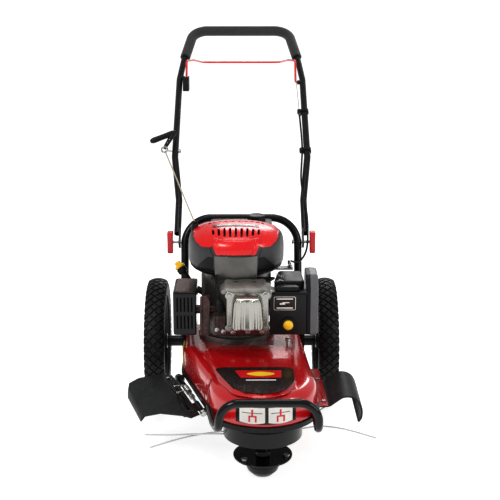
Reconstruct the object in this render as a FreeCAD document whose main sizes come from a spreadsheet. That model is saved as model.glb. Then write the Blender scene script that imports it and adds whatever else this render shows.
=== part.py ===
"""Walk-behind brush cutter: a two-wheeled string trimmer with a vertical-shaft engine.

Millimetres, +Z up.  The machine frame used for every size below has its origin on the
ground under the axle, with the trimmer head at -Y and the handle at +Y.  Each sub-part is
then set back by origin_shift, so that the model's origin is the middle of its footprint.
"""
import FreeCAD, Part
import math
import os

import Sketcher

V = FreeCAD.Vector
ROT = FreeCAD.Rotation
DOC = FreeCAD.newDocument("brush_cutter")
DIMS = DOC.addObject("Spreadsheet::Sheet", "dims")

SIZES = {
    "origin_shift": 143.75,
    # wheels and axle
    "wheel_diameter": 355.0, "wheel_width": 55.0, "wheel_offset": 235.0,
    "rim_diameter": 256.0, "hub_radius": 21.0, "hub_width": 52.0,
    "axle_radius": 8.0, "axle_tube_radius": 15.0, "axle_half_length": 262.0,
    # deck
    "deck_base": 171.0, "deck_top": 240.0, "deck_wall": 3.0, "deck_rear": -20.0,
    "deck_front": -575.0, "deck_left": -155.0, "deck_right": 165.0, "nose_radius": 134.8,
    "nose_left": -84.0, "nose_right": 186.0, "shoulder_left": -200.0, "shoulder_right": -150.0,
    "nose_start": -440.0, "panel_rise": 12.0, "pan_base": 158.0,
    # trimmer head
    "head_x": 51.0, "head_y": -470.0, "spindle_radius": 10.0, "stub_radius": 8.0,
    "drum_radius": 96.0, "drum_base": 112.0, "drum_top": 150.0, "lower_plate_radius": 72.0,
    "lower_plate_base": 52.0, "cup_radius": 43.0, "cup_height": 40.0, "line_diameter": 4.0,
    "head_pulley_radius": 60.0, "belt_thickness": 7.0, "running_clearance": 0.06,
    # engine
    "crank_x": -14.0, "crank_y": -110.0, "crank_radius": 10.0, "crank_pulley_radius": 35.0,
    "block_radius": 88.0, "block_top": 428.0, "shroud_radius": 126.0, "shroud_top": 528.0,
    "cylinder_x": 15.0, "cylinder_z": 364.0, "valve_cover_width": 112.0,
    "valve_cover_height": 105.0, "cap_radius": 25.0,
    # frame and handle
    "hoop_half_width": 160.0, "hoop_tube_radius": 11.0, "hoop_corner_radius": 75.0,
    "handle_tube_radius": 10.0, "tube_wall": 1.6, "handle_half_width": 200.0,
    "pivot_y": 88.0, "pivot_z": 442.0, "pivot_bolt_radius": 4.0, "grip_radius": 16.5,
    "grip_y": 893.0, "grip_z": 977.0, "bail_rod_radius": 3.5, "bail_y": 653.0, "bail_z": 829.0,
    "knob_height": 62.0, "knob_width": 30.0, "knob_depth": 17.0, "bumper_tube_radius": 10.0,
    "bumper_y": -612.0, "bumper_z": 248.0, "bumper_half_width": 114.0, "bumper_x": 62.0,
    # guards
    "guard_half_width": 300.0, "rubber_thickness": 5.0, "hinge_rod_radius": 4.0,
    "hinge_z": 150.0, "hinge_length": 239.0,
}

NODES = []


# ---------------------------------------------------------------- sheet and helpers
def fill_sheet():
    """Write every driving size to the spreadsheet, one aliased cell each."""
    for row, (alias, number) in enumerate(SIZES.items(), start=1):
        DIMS.set(f"A{row}", alias)
        DIMS.set(f"B{row}", f"{number:g}")
        DIMS.setAlias(f"B{row}", alias)
    DOC.recompute()


def size(alias):
    """One driving size, read back from the sheet."""
    return float(getattr(DIMS, alias))


def number(value):
    """A plain number from a number or from an expression on the sheet's aliases."""
    if isinstance(value, str):
        return float(DIMS.evalExpression(value.replace("dims.", "")))
    return float(value)


def bind(target, prop, value):
    """Give a property its size, as an expression where it is one."""
    if isinstance(value, str):
        target.setExpression(prop, value)
    else:
        setattr(target, prop, value)


def node(item, label, at=(0, 0, 0), turn=None):
    """Name a sub-part, place it from the machine frame and keep it for export."""
    item.Label = label
    item.Placement = FreeCAD.Placement(V(0, 0, 0), turn or ROT())
    for axis, value in zip("xyz", at):
        text = value if isinstance(value, str) else f"{value:g}"
        if axis == "y":
            text = f"({text}) - dims.origin_shift"
        item.setExpression(f"Placement.Base.{axis}", text)
    NODES.append(item)
    return item


def sketch_on(body, role, name):
    """An empty sketch on one of the body's own origin planes."""
    sketch = body.newObject("Sketcher::SketchObject", name)
    plane = next(item for item in body.Origin.OriginFeatures if item.Role == role)
    sketch.AttachmentSupport = [(plane, "")]
    sketch.MapMode = "FlatFace"
    return sketch


def draw_polygon(sketch, points):
    """A closed outline whose corners are fixed by two dimensions each."""
    corners = [V(number(x), number(y), 0) for x, y in points]
    count = len(corners)
    for index in range(count):
        line = Part.LineSegment(corners[index], corners[(index + 1) % count])
        sketch.addGeometry(line, False)
    for index in range(count):
        sketch.addConstraint(Sketcher.Constraint("Coincident", index, 2, (index + 1) % count, 1))
    for index, (x, y) in enumerate(points):
        for kind, value in (("DistanceX", x), ("DistanceY", y)):
            made = sketch.addConstraint(Sketcher.Constraint(kind, -1, 1, index, 1, number(value)))
            if isinstance(value, str):
                sketch.setExpression(f"Constraints[{made}]", value)


def turned(name, profile):
    """A body turned about its own Z axis from a closed (radius, height) profile."""
    body = DOC.addObject("PartDesign::Body", name)
    sketch = sketch_on(body, "XZ_Plane", f"{name}_profile")
    draw_polygon(sketch, profile)
    turn = body.newObject("PartDesign::Revolution", f"{name}_turn")
    turn.Profile = sketch
    turn.ReferenceAxis = (sketch, ["V_Axis"])
    turn.Angle = 360.0
    return body


def padded(name, outline, length, role="XY_Plane"):
    """A body padded from a closed outline on one of its origin planes."""
    body = DOC.addObject("PartDesign::Body", name)
    sketch = sketch_on(body, role, f"{name}_outline")
    draw_polygon(sketch, outline)
    pad = body.newObject("PartDesign::Pad", f"{name}_pad")
    pad.Profile = sketch
    bind(pad, "Length", length)
    return body


def round_edges(body, radius, chosen):
    """Fillet the edges of the body's tip that chosen(edge) picks."""
    DOC.recompute()
    base = body.Tip
    names = [f"Edge{i}" for i, edge in enumerate(base.Shape.Edges, start=1) if chosen(edge)]
    fillet = body.newObject("PartDesign::Fillet", f"{body.Name}_round_{len(body.Group)}")
    fillet.Base = (base, names)
    bind(fillet, "Radius", radius)
    return body


def cylinder(name, radius, height, at=(0, 0, 0), along=(0, 0, 1)):
    """A Part cylinder from a point, along a direction."""
    item = DOC.addObject("Part::Cylinder", name)
    bind(item, "Radius", radius)
    bind(item, "Height", height)
    turn = ROT(V(0, 0, 1), V(*along))
    item.Placement = FreeCAD.Placement(V(*[number(value) for value in at]), turn)
    return item


def box(name, low, high):
    """A Part box between two corners."""
    item = DOC.addObject("Part::Box", name)
    item.Length, item.Width, item.Height = [b - a for a, b in zip(low, high)]
    item.Placement.Base = V(*low)
    return item


def fused(name, parts):
    item = DOC.addObject("Part::MultiFuse", name)
    item.Shapes = parts
    return item


def cut(name, base, tool):
    item = DOC.addObject("Part::Cut", name)
    item.Base = base
    item.Tool = tool
    return item


def feature(name, shape):
    """A shape that the sketch tools can't make, such as a tube bent in space."""
    item = DOC.addObject("Part::Feature", name)
    whole = shape.copy()
    place = whole.Placement.toMatrix()
    whole.Placement = FreeCAD.Placement()
    whole.transformShape(place, True)
    item.Shape = whole
    return item


def rounded_path(points, radii):
    """A wire of straight runs joined by tangent arcs, one radius per inner point."""
    points = [V(*point) for point in points]
    edges = []
    start = points[0]
    for corner, after, radius in zip(points[1:-1], points[2:], radii):
        into = (corner - start).normalize()
        away = (after - corner).normalize()
        turn = into.getAngle(away)
        reach = radius * math.tan(turn / 2)
        first, last = corner - into * reach, corner + away * reach
        middle_way = (away - into).normalize()
        sagitta = radius / math.cos(turn / 2) - radius
        edges.append(Part.LineSegment(start, first).toShape())
        edges.append(Part.Arc(first, corner + middle_way * sagitta, last).toShape())
        start = last
    edges.append(Part.LineSegment(start, points[-1]).toShape())
    return Part.Wire(edges)


def swept(path, radius):
    """A round bar along a path."""
    start = path.Edges[0]
    heading = start.tangentAt(start.FirstParameter)
    ring = Part.Wire(Part.makeCircle(radius, start.Vertexes[0].Point, heading))
    return path.makePipeShell([ring], True, False)


def tube_shape(points, radii, outer, inner=0.0):
    """A round tube or bar along straight runs and tangent arcs."""
    path = rounded_path(points, radii)
    shape = swept(path, outer)
    if inner:
        shape = shape.cut(swept(path, inner))
    return shape


def cord_radii(name, points):
    """Arcs as large as each pair of runs allows: 0.45 of the shorter run over tan(half turn)."""
    points = [V(*point) for point in points]
    radii = []
    for before, corner, after in zip(points, points[1:], points[2:]):
        into, away = corner - before, after - corner
        turn = into.getAngle(away)
        radii.append(0.45 * min(into.Length, away.Length) / math.tan(turn / 2))
    print(f"{name}: bend radii {[round(radius) for radius in radii]} mm")
    return radii


def cord_shape(name, points, radius):
    """A cord's tube, with its volume compared with its section times its length."""
    path = rounded_path(points, cord_radii(name, points))
    shape = swept(path, radius)
    expected = math.pi * radius ** 2 * path.Length
    print(f"{name}: {path.Length:.0f} mm long, volume is {shape.Volume / expected:.3f} of its section")
    return shape


def bolt_shape(at, along, shank_radius, shank_length, head_radius, head_height):
    """A bolt: its head's seat is at a point, and its shank runs along a direction."""
    at, along = V(*at), V(*along)
    shank = Part.makeCylinder(shank_radius, shank_length, at, along)
    corners = []
    for step in range(7):
        angle = math.radians(60 * step)
        corners.append(V(head_radius * math.cos(angle), head_radius * math.sin(angle), 0))
    head = Part.Face(Part.makePolygon(corners)).extrude(V(0, 0, head_height))
    head.Placement = FreeCAD.Placement(at - along * head_height, ROT(V(0, 0, 1), along))
    return shank.fuse(head).removeSplitter()


# ---------------------------------------------------------------- wheels and axle
def wheels():
    """Two tyres on spoked rims, turning on a fixed axle."""
    for side, sign in (("left", -1), ("right", 1)):
        tyre = turned(f"tyre_{side}", [
            ("dims.rim_diameter / 2", "-dims.wheel_width / 2 + 4"),
            ("dims.rim_diameter / 2 + 14", "-dims.wheel_width / 2"),
            ("dims.wheel_diameter / 2 - 12", "-dims.wheel_width / 2"),
            ("dims.wheel_diameter / 2", "-dims.wheel_width / 2 + 9"),
            ("dims.wheel_diameter / 2", "dims.wheel_width / 2 - 9"),
            ("dims.wheel_diameter / 2 - 12", "dims.wheel_width / 2"),
            ("dims.rim_diameter / 2 + 14", "dims.wheel_width / 2"),
            ("dims.rim_diameter / 2", "dims.wheel_width / 2 - 4")])
        sideways = ROT(V(0, 1, 0), 90)
        centre = (f"{sign} * dims.wheel_offset", 0, "dims.wheel_diameter / 2")
        node(tyre, f"tyre_{side}", centre, sideways)

        rim = turned(f"rim_{side}", [
            ("dims.axle_radius + dims.running_clearance", "-dims.hub_width / 2"),
            ("dims.hub_radius", "-dims.hub_width / 2"), ("dims.hub_radius", -5),
            ("dims.rim_diameter / 2 - 10", -5), ("dims.rim_diameter / 2 - 6", -20),
            ("dims.rim_diameter / 2", -20), ("dims.rim_diameter / 2", 20),
            ("dims.rim_diameter / 2 - 6", 20), ("dims.rim_diameter / 2 - 10", 5),
            ("dims.hub_radius", 5), ("dims.hub_radius", "dims.hub_width / 2"),
            ("dims.axle_radius + dims.running_clearance", "dims.hub_width / 2")])
        window = sketch_on(rim, "XY_Plane", f"window_{side}")
        draw_polygon(window, [(38, -14), (38, 14), (100, 34), (100, -34)])
        pocket = rim.newObject("PartDesign::Pocket", f"window_cut_{side}")
        pocket.Profile = window
        pocket.Type = 1
        pocket.Midplane = True
        DOC.recompute()
        spokes = rim.newObject("PartDesign::PolarPattern", f"window_pattern_{side}")
        spokes.Originals = [pocket]
        spokes.Axis = (window, ["N_Axis"])
        spokes.Angle = 360
        spokes.Occurrences = 5
        rim.Tip = spokes
        node(rim, f"rim_{side}", centre, sideways)


def axle():
    """The axle with its end nuts."""
    height = size("wheel_diameter") / 2
    half = size("axle_half_length")
    bar = cylinder("axle_bar", "dims.axle_radius", "2 * dims.axle_half_length",
                   (-half, 0, height), (1, 0, 0))
    nuts = [cylinder(f"axle_nut_{i}", 12.0, 8.7, (x, 0, height), (1, 0, 0))
            for i, x in enumerate((-half - 8, half - 0.7))]
    node(fused("axle_fuse", [bar] + nuts), "axle")


def axle_carrier():
    """The tube round the axle and the side plates that join it to the deck."""
    height = size("wheel_diameter") / 2
    reach = size("wheel_offset") - size("hub_width") / 2 - 1.0
    outer = Part.makeCylinder(size("axle_tube_radius"), 2 * reach, V(-reach, 0, height), V(1, 0, 0))
    outline = [V(0, -110, 235), V(0, -110, 172), V(0, -14, 172), V(0, -14, 158), V(0, 20, 158),
               V(0, 20, 205), V(0, -110, 235)]
    shape = outer
    for low in (size("deck_left") - 6.0, size("deck_right")):
        plate = Part.Face(Part.makePolygon(outline)).extrude(V(6, 0, 0))
        plate.translate(V(low, 0, 0))
        shape = shape.fuse(plate)
    bore = Part.makeCylinder(size("axle_radius"), 2 * reach, V(-reach, 0, height), V(1, 0, 0))
    return shape.cut(bore)


# ---------------------------------------------------------------- deck
def deck_outline(inset):
    """The deck seen from above, as expressions moved in from its walls."""
    return [
        (f"dims.deck_left + {inset}", f"dims.deck_rear - {inset}"),
        (f"dims.deck_left + {inset}", "dims.shoulder_left"),
        (f"dims.nose_left + {inset}", "dims.nose_start"),
        (f"dims.nose_left + {inset}", f"dims.deck_front + {inset}"),
        (f"dims.nose_right - {inset}", f"dims.deck_front + {inset}"),
        (f"dims.nose_right - {inset}", "dims.nose_start"),
        (f"dims.deck_right - {inset}", "dims.shoulder_right"),
        (f"dims.deck_right - {inset}", f"dims.deck_rear - {inset}")]


def nose_block(name, inset, height):
    """A block of the deck's outline with its round nose."""
    body = padded(name, deck_outline(inset), height)
    front = number(f"deck_front + {inset}")

    def at_front(edge):
        ends = edge.Vertexes
        upright = len(ends) == 2 and abs(ends[0].Z - ends[1].Z) > 1
        return upright and all(abs(end.Y - front) < 0.01 for end in ends)
    round_edges(body, f"dims.nose_radius - {inset}", at_front)
    return body


def raised(item, height):
    """Lift a helper object to its height."""
    item.setExpression("Placement.Base.z", height)
    return item


def deck():
    """The red pressed shell, the black pan under it and the red bracket for the right guard."""
    outer = raised(nose_block("deck_outer", 0.0, "dims.deck_top - dims.deck_base"), "dims.deck_base")
    inner = raised(nose_block("deck_inner", 3.0, "dims.deck_top - dims.deck_base - dims.deck_wall"),
                   "dims.deck_base")
    outline = [(-90, -235), (118, -235), (128, -324), (126, -481), (106, -521), (81, -540),
               (45, -546), (-6, -537), (-30, -509), (-62, -398)]
    panel = raised(padded("deck_panel", outline, "dims.panel_rise"), "dims.deck_top")
    inside = [(30 + 0.95 * (x - 30), -390 + 0.95 * (y + 390)) for x, y in outline]
    room = raised(padded("deck_panel_room", inside, "dims.panel_rise"),
                  "dims.deck_top - dims.deck_wall")
    round_edges(panel, 8.0, lambda edge: all(end.Z > 1 for end in edge.Vertexes))
    shaft_hole = cylinder("deck_shaft_hole", 14.0, 10.0, ("crank_x", "crank_y", "deck_top - 5"))
    shell = fused("deck_fuse", [cut("deck_hollow", outer, inner), panel])
    node(cut("deck_cut", shell, fused("deck_tools", [shaft_hole, room])), "deck_shell")

    lip = raised(nose_block("pan_outer", -4.0, "dims.deck_base - dims.pan_base"), "dims.pan_base")
    hollow = raised(nose_block("pan_inner", 3.0, "dims.deck_base - dims.pan_base"),
                    "dims.pan_base + dims.deck_wall")
    hole = cylinder("pan_spindle_hole", 28.0, 10.0, ("head_x", "head_y", "pan_base - 5"))
    tools = fused("pan_tools", [hollow, hole])
    lugs = []
    for index, start in enumerate((0.0, size("hinge_length") - 10.0)):
        lug = Part.makeBox(20, 10, 15, V(-14, start, -7))
        lug = lug.cut(Part.makeCylinder(size("hinge_rod_radius"), 20, V(0, start - 5, 0), V(0, 1, 0)))
        lug.Placement = hinge_placement()
        lugs.append(feature(f"hinge_lug_{index}", lug))
    node(fused("pan_fuse", [cut("pan_cut", lip, tools)] + lugs), "deck_pan")

    bracket = padded("bracket_plate", [(140, -170), (206, -170), (214, -413), (140, -413)], 3.0)
    holes = [cylinder(f"bracket_hole_{i}", 3.0, 9.0, (x, y, -3))
             for i, (x, y) in enumerate(guard_bolt_sites())]
    node(cut("bracket_cut", bracket, fused("bracket_holes", holes)), "guard_bracket",
         (0, 0, "dims.pan_base - 3"))


def hinge_placement():
    """The left flap's own frame: X outwards, Y along the hinge rod to the front, Z up."""
    along = V(73, -228, 0).normalize()
    outwards = V(-228, -73, 0).normalize()
    turn = ROT(outwards, along, V(0, 0, 1), "ZXY")
    start = V(-159, -209, size("hinge_z")) + outwards * 8
    return FreeCAD.Placement(start, turn)


def flap():
    """The sprung left guard: its rod, its steel strip with knuckles, and its rubber sheet."""
    place = hinge_placement()
    length = size("hinge_length")
    rod = Part.makeCylinder(size("hinge_rod_radius"), length + 12, V(0, -6, 0), V(0, 1, 0))
    for start in (-5.0, length + 1.0):
        rod = rod.fuse(Part.makeCylinder(size("hinge_rod_radius") + 3, 4, V(0, start, 0), V(0, 1, 0)))
    rod.Placement = place
    node(feature("hinge_rod_shape", rod), "hinge_rod")

    strip = Part.makeBox(40, length + 14, 3, V(12, -4, -1.5))
    for start, end in ((14, 58), (178, 224)):
        strip = strip.fuse(Part.makeBox(14, end - start, 3, V(0, start, -1.5)))
        knuckle = Part.makeCylinder(7, end - start, V(0, start, 0), V(0, 1, 0))
        strip = strip.fuse(knuckle)
    bore = size("hinge_rod_radius") + size("running_clearance")
    strip = strip.cut(Part.makeCylinder(bore, length + 30, V(0, -10, 0), V(0, 1, 0)))
    sites = [(33, along) for along in (12.0, 120.0, 238.0)]
    for x, y in sites:
        strip = strip.cut(Part.makeCylinder(3, 10, V(x, y, -5)))
    strip = strip.removeSplitter()
    strip.Placement = place
    node(feature("flap_strip_shape", strip), "flap_strip")

    thick = size("rubber_thickness")
    section = [(16, 1.5), (52, 1.5), (96, -10), (126, -30), (142, -62),
               (142 + thick, -61), (130, -26), (98, -10 + thick), (52, 1.5 + thick), (16, 1.5 + thick)]
    corners = [V(x, -70, z) for x, z in section + section[:1]]
    sheet = Part.Face(Part.makePolygon(corners)).extrude(V(0, 340, 0))
    for x, y in sites:
        sheet = sheet.cut(Part.makeCylinder(3, 10, V(x, y, 0)))
    sheet.Placement = place
    half = size("guard_half_width")
    outline = [(-half, -196), (-176, -210), (-98, -452), (-122, -478), (-252, -388), (-half, -236)]
    stencil = Part.Face(Part.makePolygon([V(x, y, 50) for x, y in outline + outline[:1]]))
    sheet = sheet.common(stencil.extrude(V(0, 0, 150)))
    node(feature("flap_rubber_shape", sheet), "flap_rubber")

    bolts = [bolt_shape((x, y, 1.5 + thick), (0, 0, -1), 3, 12, 5.5, 3) for x, y in sites]
    for bolt in bolts:
        bolt.Placement = place.multiply(bolt.Placement)
    node(feature("flap_bolts_shape", Part.makeCompound(bolts)), "flap_bolts")

    coil = Part.makeCylinder(8, 46, V(0, 66, 0), V(0, 1, 0))
    coil = coil.cut(Part.makeCylinder(5, 60, V(0, 60, 0), V(0, 1, 0)))
    for along in (70.0, 108.0):
        leg = Part.makeCylinder(1.3, 32, V(0, along, 8.6), V(1, 0, 0))
        coil = coil.fuse(leg).fuse(Part.makeSphere(1.3, V(32, along, 8.6)))
        coil = coil.fuse(Part.makeCylinder(1.3, 3.6, V(0, along, 5.5)))
    coil.Placement = place
    node(feature("torsion_spring_shape", coil), "torsion_spring")


def thickened(line, thick):
    """The closed outline of a sheet's section: a line of points and its offset to the right."""
    normals = []
    for (x0, z0), (x1, z1) in zip(line, line[1:]):
        length = math.hypot(x1 - x0, z1 - z0)
        normals.append(((z1 - z0) / length, (x0 - x1) / length))
    inner = []
    for index, (x, z) in enumerate(line):
        before = normals[max(index - 1, 0)]
        after = normals[min(index, len(normals) - 1)]
        out = (before[0] + after[0], before[1] + after[1])
        reach = 2 * thick / (out[0] ** 2 + out[1] ** 2)
        inner.append((x + out[0] * reach, z + out[1] * reach))
    return line + inner[::-1]


def right_guard():
    """The right guard: one rubber sheet that arches up and rolls down at its outer edge."""
    top, half = size("pan_base") - 3.0, size("guard_half_width")
    line = [(188, top), (216, top), (232, top + 13), (250, top + 24), (270, top + 24),
            (289, top + 12), (half, top - 12), (half, top - 38), (half - 9, top - 50)]
    section = thickened(line, size("rubber_thickness"))
    corners = [V(x, -410, z) for x, z in section + section[:1]]
    sheet = Part.Face(Part.makePolygon(corners)).extrude(V(0, 170, 0))
    for x, y in guard_bolt_sites():
        sheet = sheet.cut(Part.makeCylinder(3, 10, V(x, y, top - 8)))
    node(feature("right_guard_shape", sheet), "right_guard")


def guard_bolt_sites():
    """Where the right guard is bolted to its bracket."""
    return [(198, -250), (204, -392)]


def bumper(blocks):
    """The bent tube in front of the nose, butted and welded to the deck's wall."""
    x, half = size("bumper_x"), size("bumper_half_width")
    y, top, foot = size("bumper_y"), size("bumper_z"), 177.0
    route = [(x - half - 26, -470, foot), (x - half - 14, -560, foot), (x - half, y, foot + 4),
             (x - half, y, top), (x + half, y, top), (x + half, y, foot), (x + half, -440, foot)]
    shape = tube_shape(route, (60, 26, 46, 46, 26), size("bumper_tube_radius"),
                       size("bumper_tube_radius") - size("tube_wall"))
    parts = shape.cut(blocks).Solids
    outside = [part for part in parts if part.Volume > 10000]
    node(feature("bumper_shape", Part.makeCompound(outside) if len(outside) > 1 else outside[0]),
         "bumper")


# ---------------------------------------------------------------- trimmer head and drive
def trimmer_head():
    """The belt-driven spindle, its drum and plate, and the free-turning ground cup."""
    centre = ("dims.head_x", "dims.head_y", 0)
    bore = "dims.spindle_radius"
    housing = turned("spindle_housing_body", [
        (22, 132), (28, 132), (28, 161), (50, 161), (50, 166), (30, 166), (30, 188), (22, 188)])
    node(housing, "spindle_housing", centre)

    rings = []
    for name, base in (("lower", 134), ("upper", 174)):
        rings.append(turned(f"bearing_{name}", [
            (f"{bore} + dims.running_clearance", base), (22, base), (22, base + 12),
            (f"{bore} + dims.running_clearance", base + 12)]))
    both = DOC.addObject("Part::Compound", "spindle_bearings_group")
    both.Links = rings
    node(both, "spindle_bearings", centre)

    shaft = turned("spindle_shaft_body", [
        (0, 12), ("dims.stub_radius", 12), ("dims.stub_radius", 46), (bore, 46), (bore, 214),
        (0, 214)])
    node(shaft, "spindle_shaft", centre)

    rim = "dims.head_pulley_radius"
    pulley = turned("spindle_pulley_body", [
        (bore, 192), (f"{rim} + 6", 192), (f"{rim} + 6", 193.6), (rim, 193.6), (rim, 206.4),
        (f"{rim} + 6", 206.4), (f"{rim} + 6", 208), (bore, 208)])
    node(pulley, "spindle_pulley", centre)

    wide, low = "dims.drum_radius", "dims.drum_base"
    plate, under = "dims.lower_plate_radius", "dims.lower_plate_base"
    head = turned("line_head_body", [
        (bore, under), (plate, under), (plate, f"{under} + 4"), (20, f"{under} + 4"),
        (17, f"{under} + 14"), (17, f"{low} - 14"), (22, low), (wide, low),
        (wide, "dims.drum_top"), (f"{wide} - 3", "dims.drum_top"), (f"{wide} - 3", f"{low} + 4"),
        (bore, f"{low} + 4")])
    bolts, holes = [], []
    seat = size("lower_plate_base") + 4
    for step in range(3):
        angle = math.radians(222 + 120 * step)
        x, y = 60 * math.cos(angle), 60 * math.sin(angle)
        bolts.append(feature(f"head_bolt_{step}", bolt_shape((x, y, seat), (0, 0, -1), 4, 10, 8, 6)))
        bolts.append(cylinder(f"head_nut_{step}", 7.0, 4.0, (x, y, seat - 8)))
        holes.append(cylinder(f"head_hole_{step}", 4.0, 8.0, (x, y, seat - 6)))
    node(cut("line_head_cut", head, fused("head_holes", holes)), "line_head", centre)
    node(fused("head_bolt_fuse", bolts), "head_bolts", centre)

    running = "dims.stub_radius + dims.running_clearance"
    cup = turned("ground_cup_body", [
        (0, 0), (10, 0), (25, 5), (37, 17), ("dims.cup_radius", 33),
        ("dims.cup_radius", "dims.cup_height"), ("dims.cup_radius - 4", "dims.cup_height"),
        ("dims.cup_radius - 4", 35), (33, 20), (22, 10), (15, 8), (15, 44), (running, 44),
        (running, 10), (0, 10)])
    node(cup, "ground_cup", centre)


def drive():
    """The crankshaft with its flywheel and pulley, and the belt to the spindle."""
    centre = ("dims.crank_x", "dims.crank_y", 0)
    bore, rim = "dims.crank_radius", "dims.crank_pulley_radius"
    shaft = turned("crankshaft_body", [
        (0, 184), (bore, 184), (bore, 300), (24, 300), (24, 340), (bore, 340), (bore, 500), (0, 500)])
    node(shaft, "crankshaft", centre)
    wheel = turned("flywheel_body", [
        (bore, 440), (84, 440), (84, 462), (60, 462), (60, 452), (26, 452), (26, 480), (34, 490),
        (34, 496), (bore, 496)])
    node(wheel, "flywheel", centre)
    pulley = turned("engine_pulley_body", [
        (bore, 192), (f"{rim} + 6", 192), (f"{rim} + 6", 193.6), (rim, 193.6), (rim, 206.4),
        (f"{rim} + 6", 206.4), (f"{rim} + 6", 208), (bore, 208)])
    node(pulley, "engine_pulley", centre)

    gap = 0.4
    small, large = size("crank_pulley_radius") + gap, size("head_pulley_radius") + gap
    loops = [belt_loop(small + grow, large + grow) for grow in (size("belt_thickness"), 0.0)]
    belt = loops[0].cut(loops[1])
    node(feature("drive_belt_shape", belt), "drive_belt")


def belt_loop(small, large):
    """The solid that a belt round two pulleys of these radii encloses."""
    low, height = 195.0, 10.0
    first = V(size("crank_x"), size("crank_y"), low)
    second = V(size("head_x"), size("head_y"), low)
    along = second - first
    distance = along.Length
    along.normalize()
    across = V(-along.y, along.x, 0)
    sine = (large - small) / distance
    cosine = math.sqrt(1 - sine ** 2)
    corners = []
    for centre, radius in ((first, small), (second, large)):
        for side in (1, -1):
            corners.append(centre + (across * side * cosine - along * sine) * radius)
    order = [corners[0], corners[2], corners[3], corners[1], corners[0]]
    shape = Part.Face(Part.makePolygon(order)).extrude(V(0, 0, height))
    for centre, radius in ((first, small), (second, large)):
        shape = shape.fuse(Part.makeCylinder(radius, height, centre))
    return shape.removeSplitter()


LEFT_LINES = (
    [(-26, -474, 109), (-74, -470, 108), (-126, -464, 104), (-180, -460, 100), (-236, -452, 98)],
    [(-22, -452, 108), (-68, -450, 103), (-114, -458, 99), (-166, -484, 98), (-218, -525, 98)])
RIGHT_LINES = (
    [(131, -452, 109), (178, -425, 107), (226, -421, 103), (278, -442, 100), (325, -478, 99)],
    [(118, -420, 109), (142, -406, 109), (176, -388, 119), (212, -366, 134), (242, -322, 140),
     (268, -264, 141)])


def trimmer_lines():
    """Four stiff nylon ends that stand out from under the drum."""
    for side, routes in (("left", LEFT_LINES), ("right", RIGHT_LINES)):
        shapes = [cord_shape(f"trimmer_line_{side}_{index}", route, size("line_diameter") / 2)
                  for index, route in enumerate(routes)]
        node(feature(f"trimmer_lines_{side}_shape", Part.makeCompound(shapes)),
             f"trimmer_lines_{side}")


# ---------------------------------------------------------------- engine
def block_shape():
    """The crankcase with its sump flange, finned cylinder barrel and the brake lever's post."""
    centre = V(size("crank_x"), size("crank_y"), 0)
    radius, top, base = size("block_radius"), size("block_top"), size("deck_top")
    case = Part.makeCylinder(radius, top - base, centre + V(0, 0, base))
    case = case.fuse(Part.makeCylinder(102, 16, centre + V(0, 0, base)))
    x, z = size("cylinder_x"), size("cylinder_z")
    barrel = Part.makeBox(72, 80, 84, V(x - 36, -250, z - 44))
    for step in range(7):
        barrel = barrel.fuse(Part.makeBox(92, 80, 3, V(x - 46, -250, z - 44 + 13 * step)))
    case = case.fuse(barrel)
    room = Part.makeCylinder(radius - 10, top - base - 26, centre + V(0, 0, base + 12))
    bore = size("crank_radius") + size("running_clearance")
    case = case.cut(room).cut(Part.makeCylinder(bore, top, centre + V(0, 0, 100)))
    lug = Part.makeBox(100, 26, 4, V(40, -66, 404)).cut(Part.makeCylinder(radius - 1, top, centre))
    post = Part.makeCylinder(3, 12, V(132, -52, 404))
    return case.fuse(lug).fuse(post).removeSplitter()


def engine_core():
    """Crankcase and cylinder, head and chrome valve cover; gives back the cover's bolts."""
    block = block_shape()
    node(feature("engine_block_shape", block), "engine_block")

    x, z = size("cylinder_x"), size("cylinder_z")
    head = Part.makeBox(106, 50, 98, V(x - 53, -300, z - 49))
    for step in range(4):
        head = head.cut(Part.makeBox(200, 4, 60, V(x - 100, -290 + 10 * step, z - 30)))
    head = head.fuse(Part.makeBox(90, 50, 98, V(x - 45, -300, z - 49)))
    node(feature("cylinder_head_shape", head.removeSplitter()), "cylinder_head")

    half_w, half_h = size("valve_cover_width") / 2, size("valve_cover_height") / 2
    cover = padded("valve_cover_body", [
        ("-dims.valve_cover_width / 2", "-dims.valve_cover_height / 2"),
        ("dims.valve_cover_width / 2", "-dims.valve_cover_height / 2"),
        ("dims.valve_cover_width / 2", "dims.valve_cover_height / 2"),
        ("-dims.valve_cover_width / 2", "dims.valve_cover_height / 2")], 6.0, "XZ_Plane")
    round_edges(cover, 12.0, lambda edge: abs(edge.tangentAt(edge.FirstParameter).y) > 0.9)
    dome = padded("valve_dome_body", [(-38, -48), (38, -48), (38, 48), (-38, 48)], 34.0, "XZ_Plane")
    round_edges(dome, 10.0, lambda edge: abs(edge.tangentAt(edge.FirstParameter).y) > 0.9)
    round_edges(dome, 9.0, lambda edge: all(end.Y < -30 for end in edge.Vertexes))
    sites = [(x + sx * (half_w - 10), -306, z + sz * (half_h - 10)) for sx in (-1, 1) for sz in (-1, 1)]
    drills = [cylinder(f"cover_hole_{i}", 3.0, 20.0, (sx - x, -16, sz - z), (0, 1, 0))
              for i, (sx, sy, sz) in enumerate(sites)]
    whole = fused("valve_cover_fuse", [cover, dome])
    node(cut("valve_cover_cut", whole, fused("cover_holes", drills)), "valve_cover",
         ("dims.cylinder_x", -300, "dims.cylinder_z"))

    return [bolt_shape(site, (0, 1, 0), 3, 6, 6, 5) for site in sites]


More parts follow.
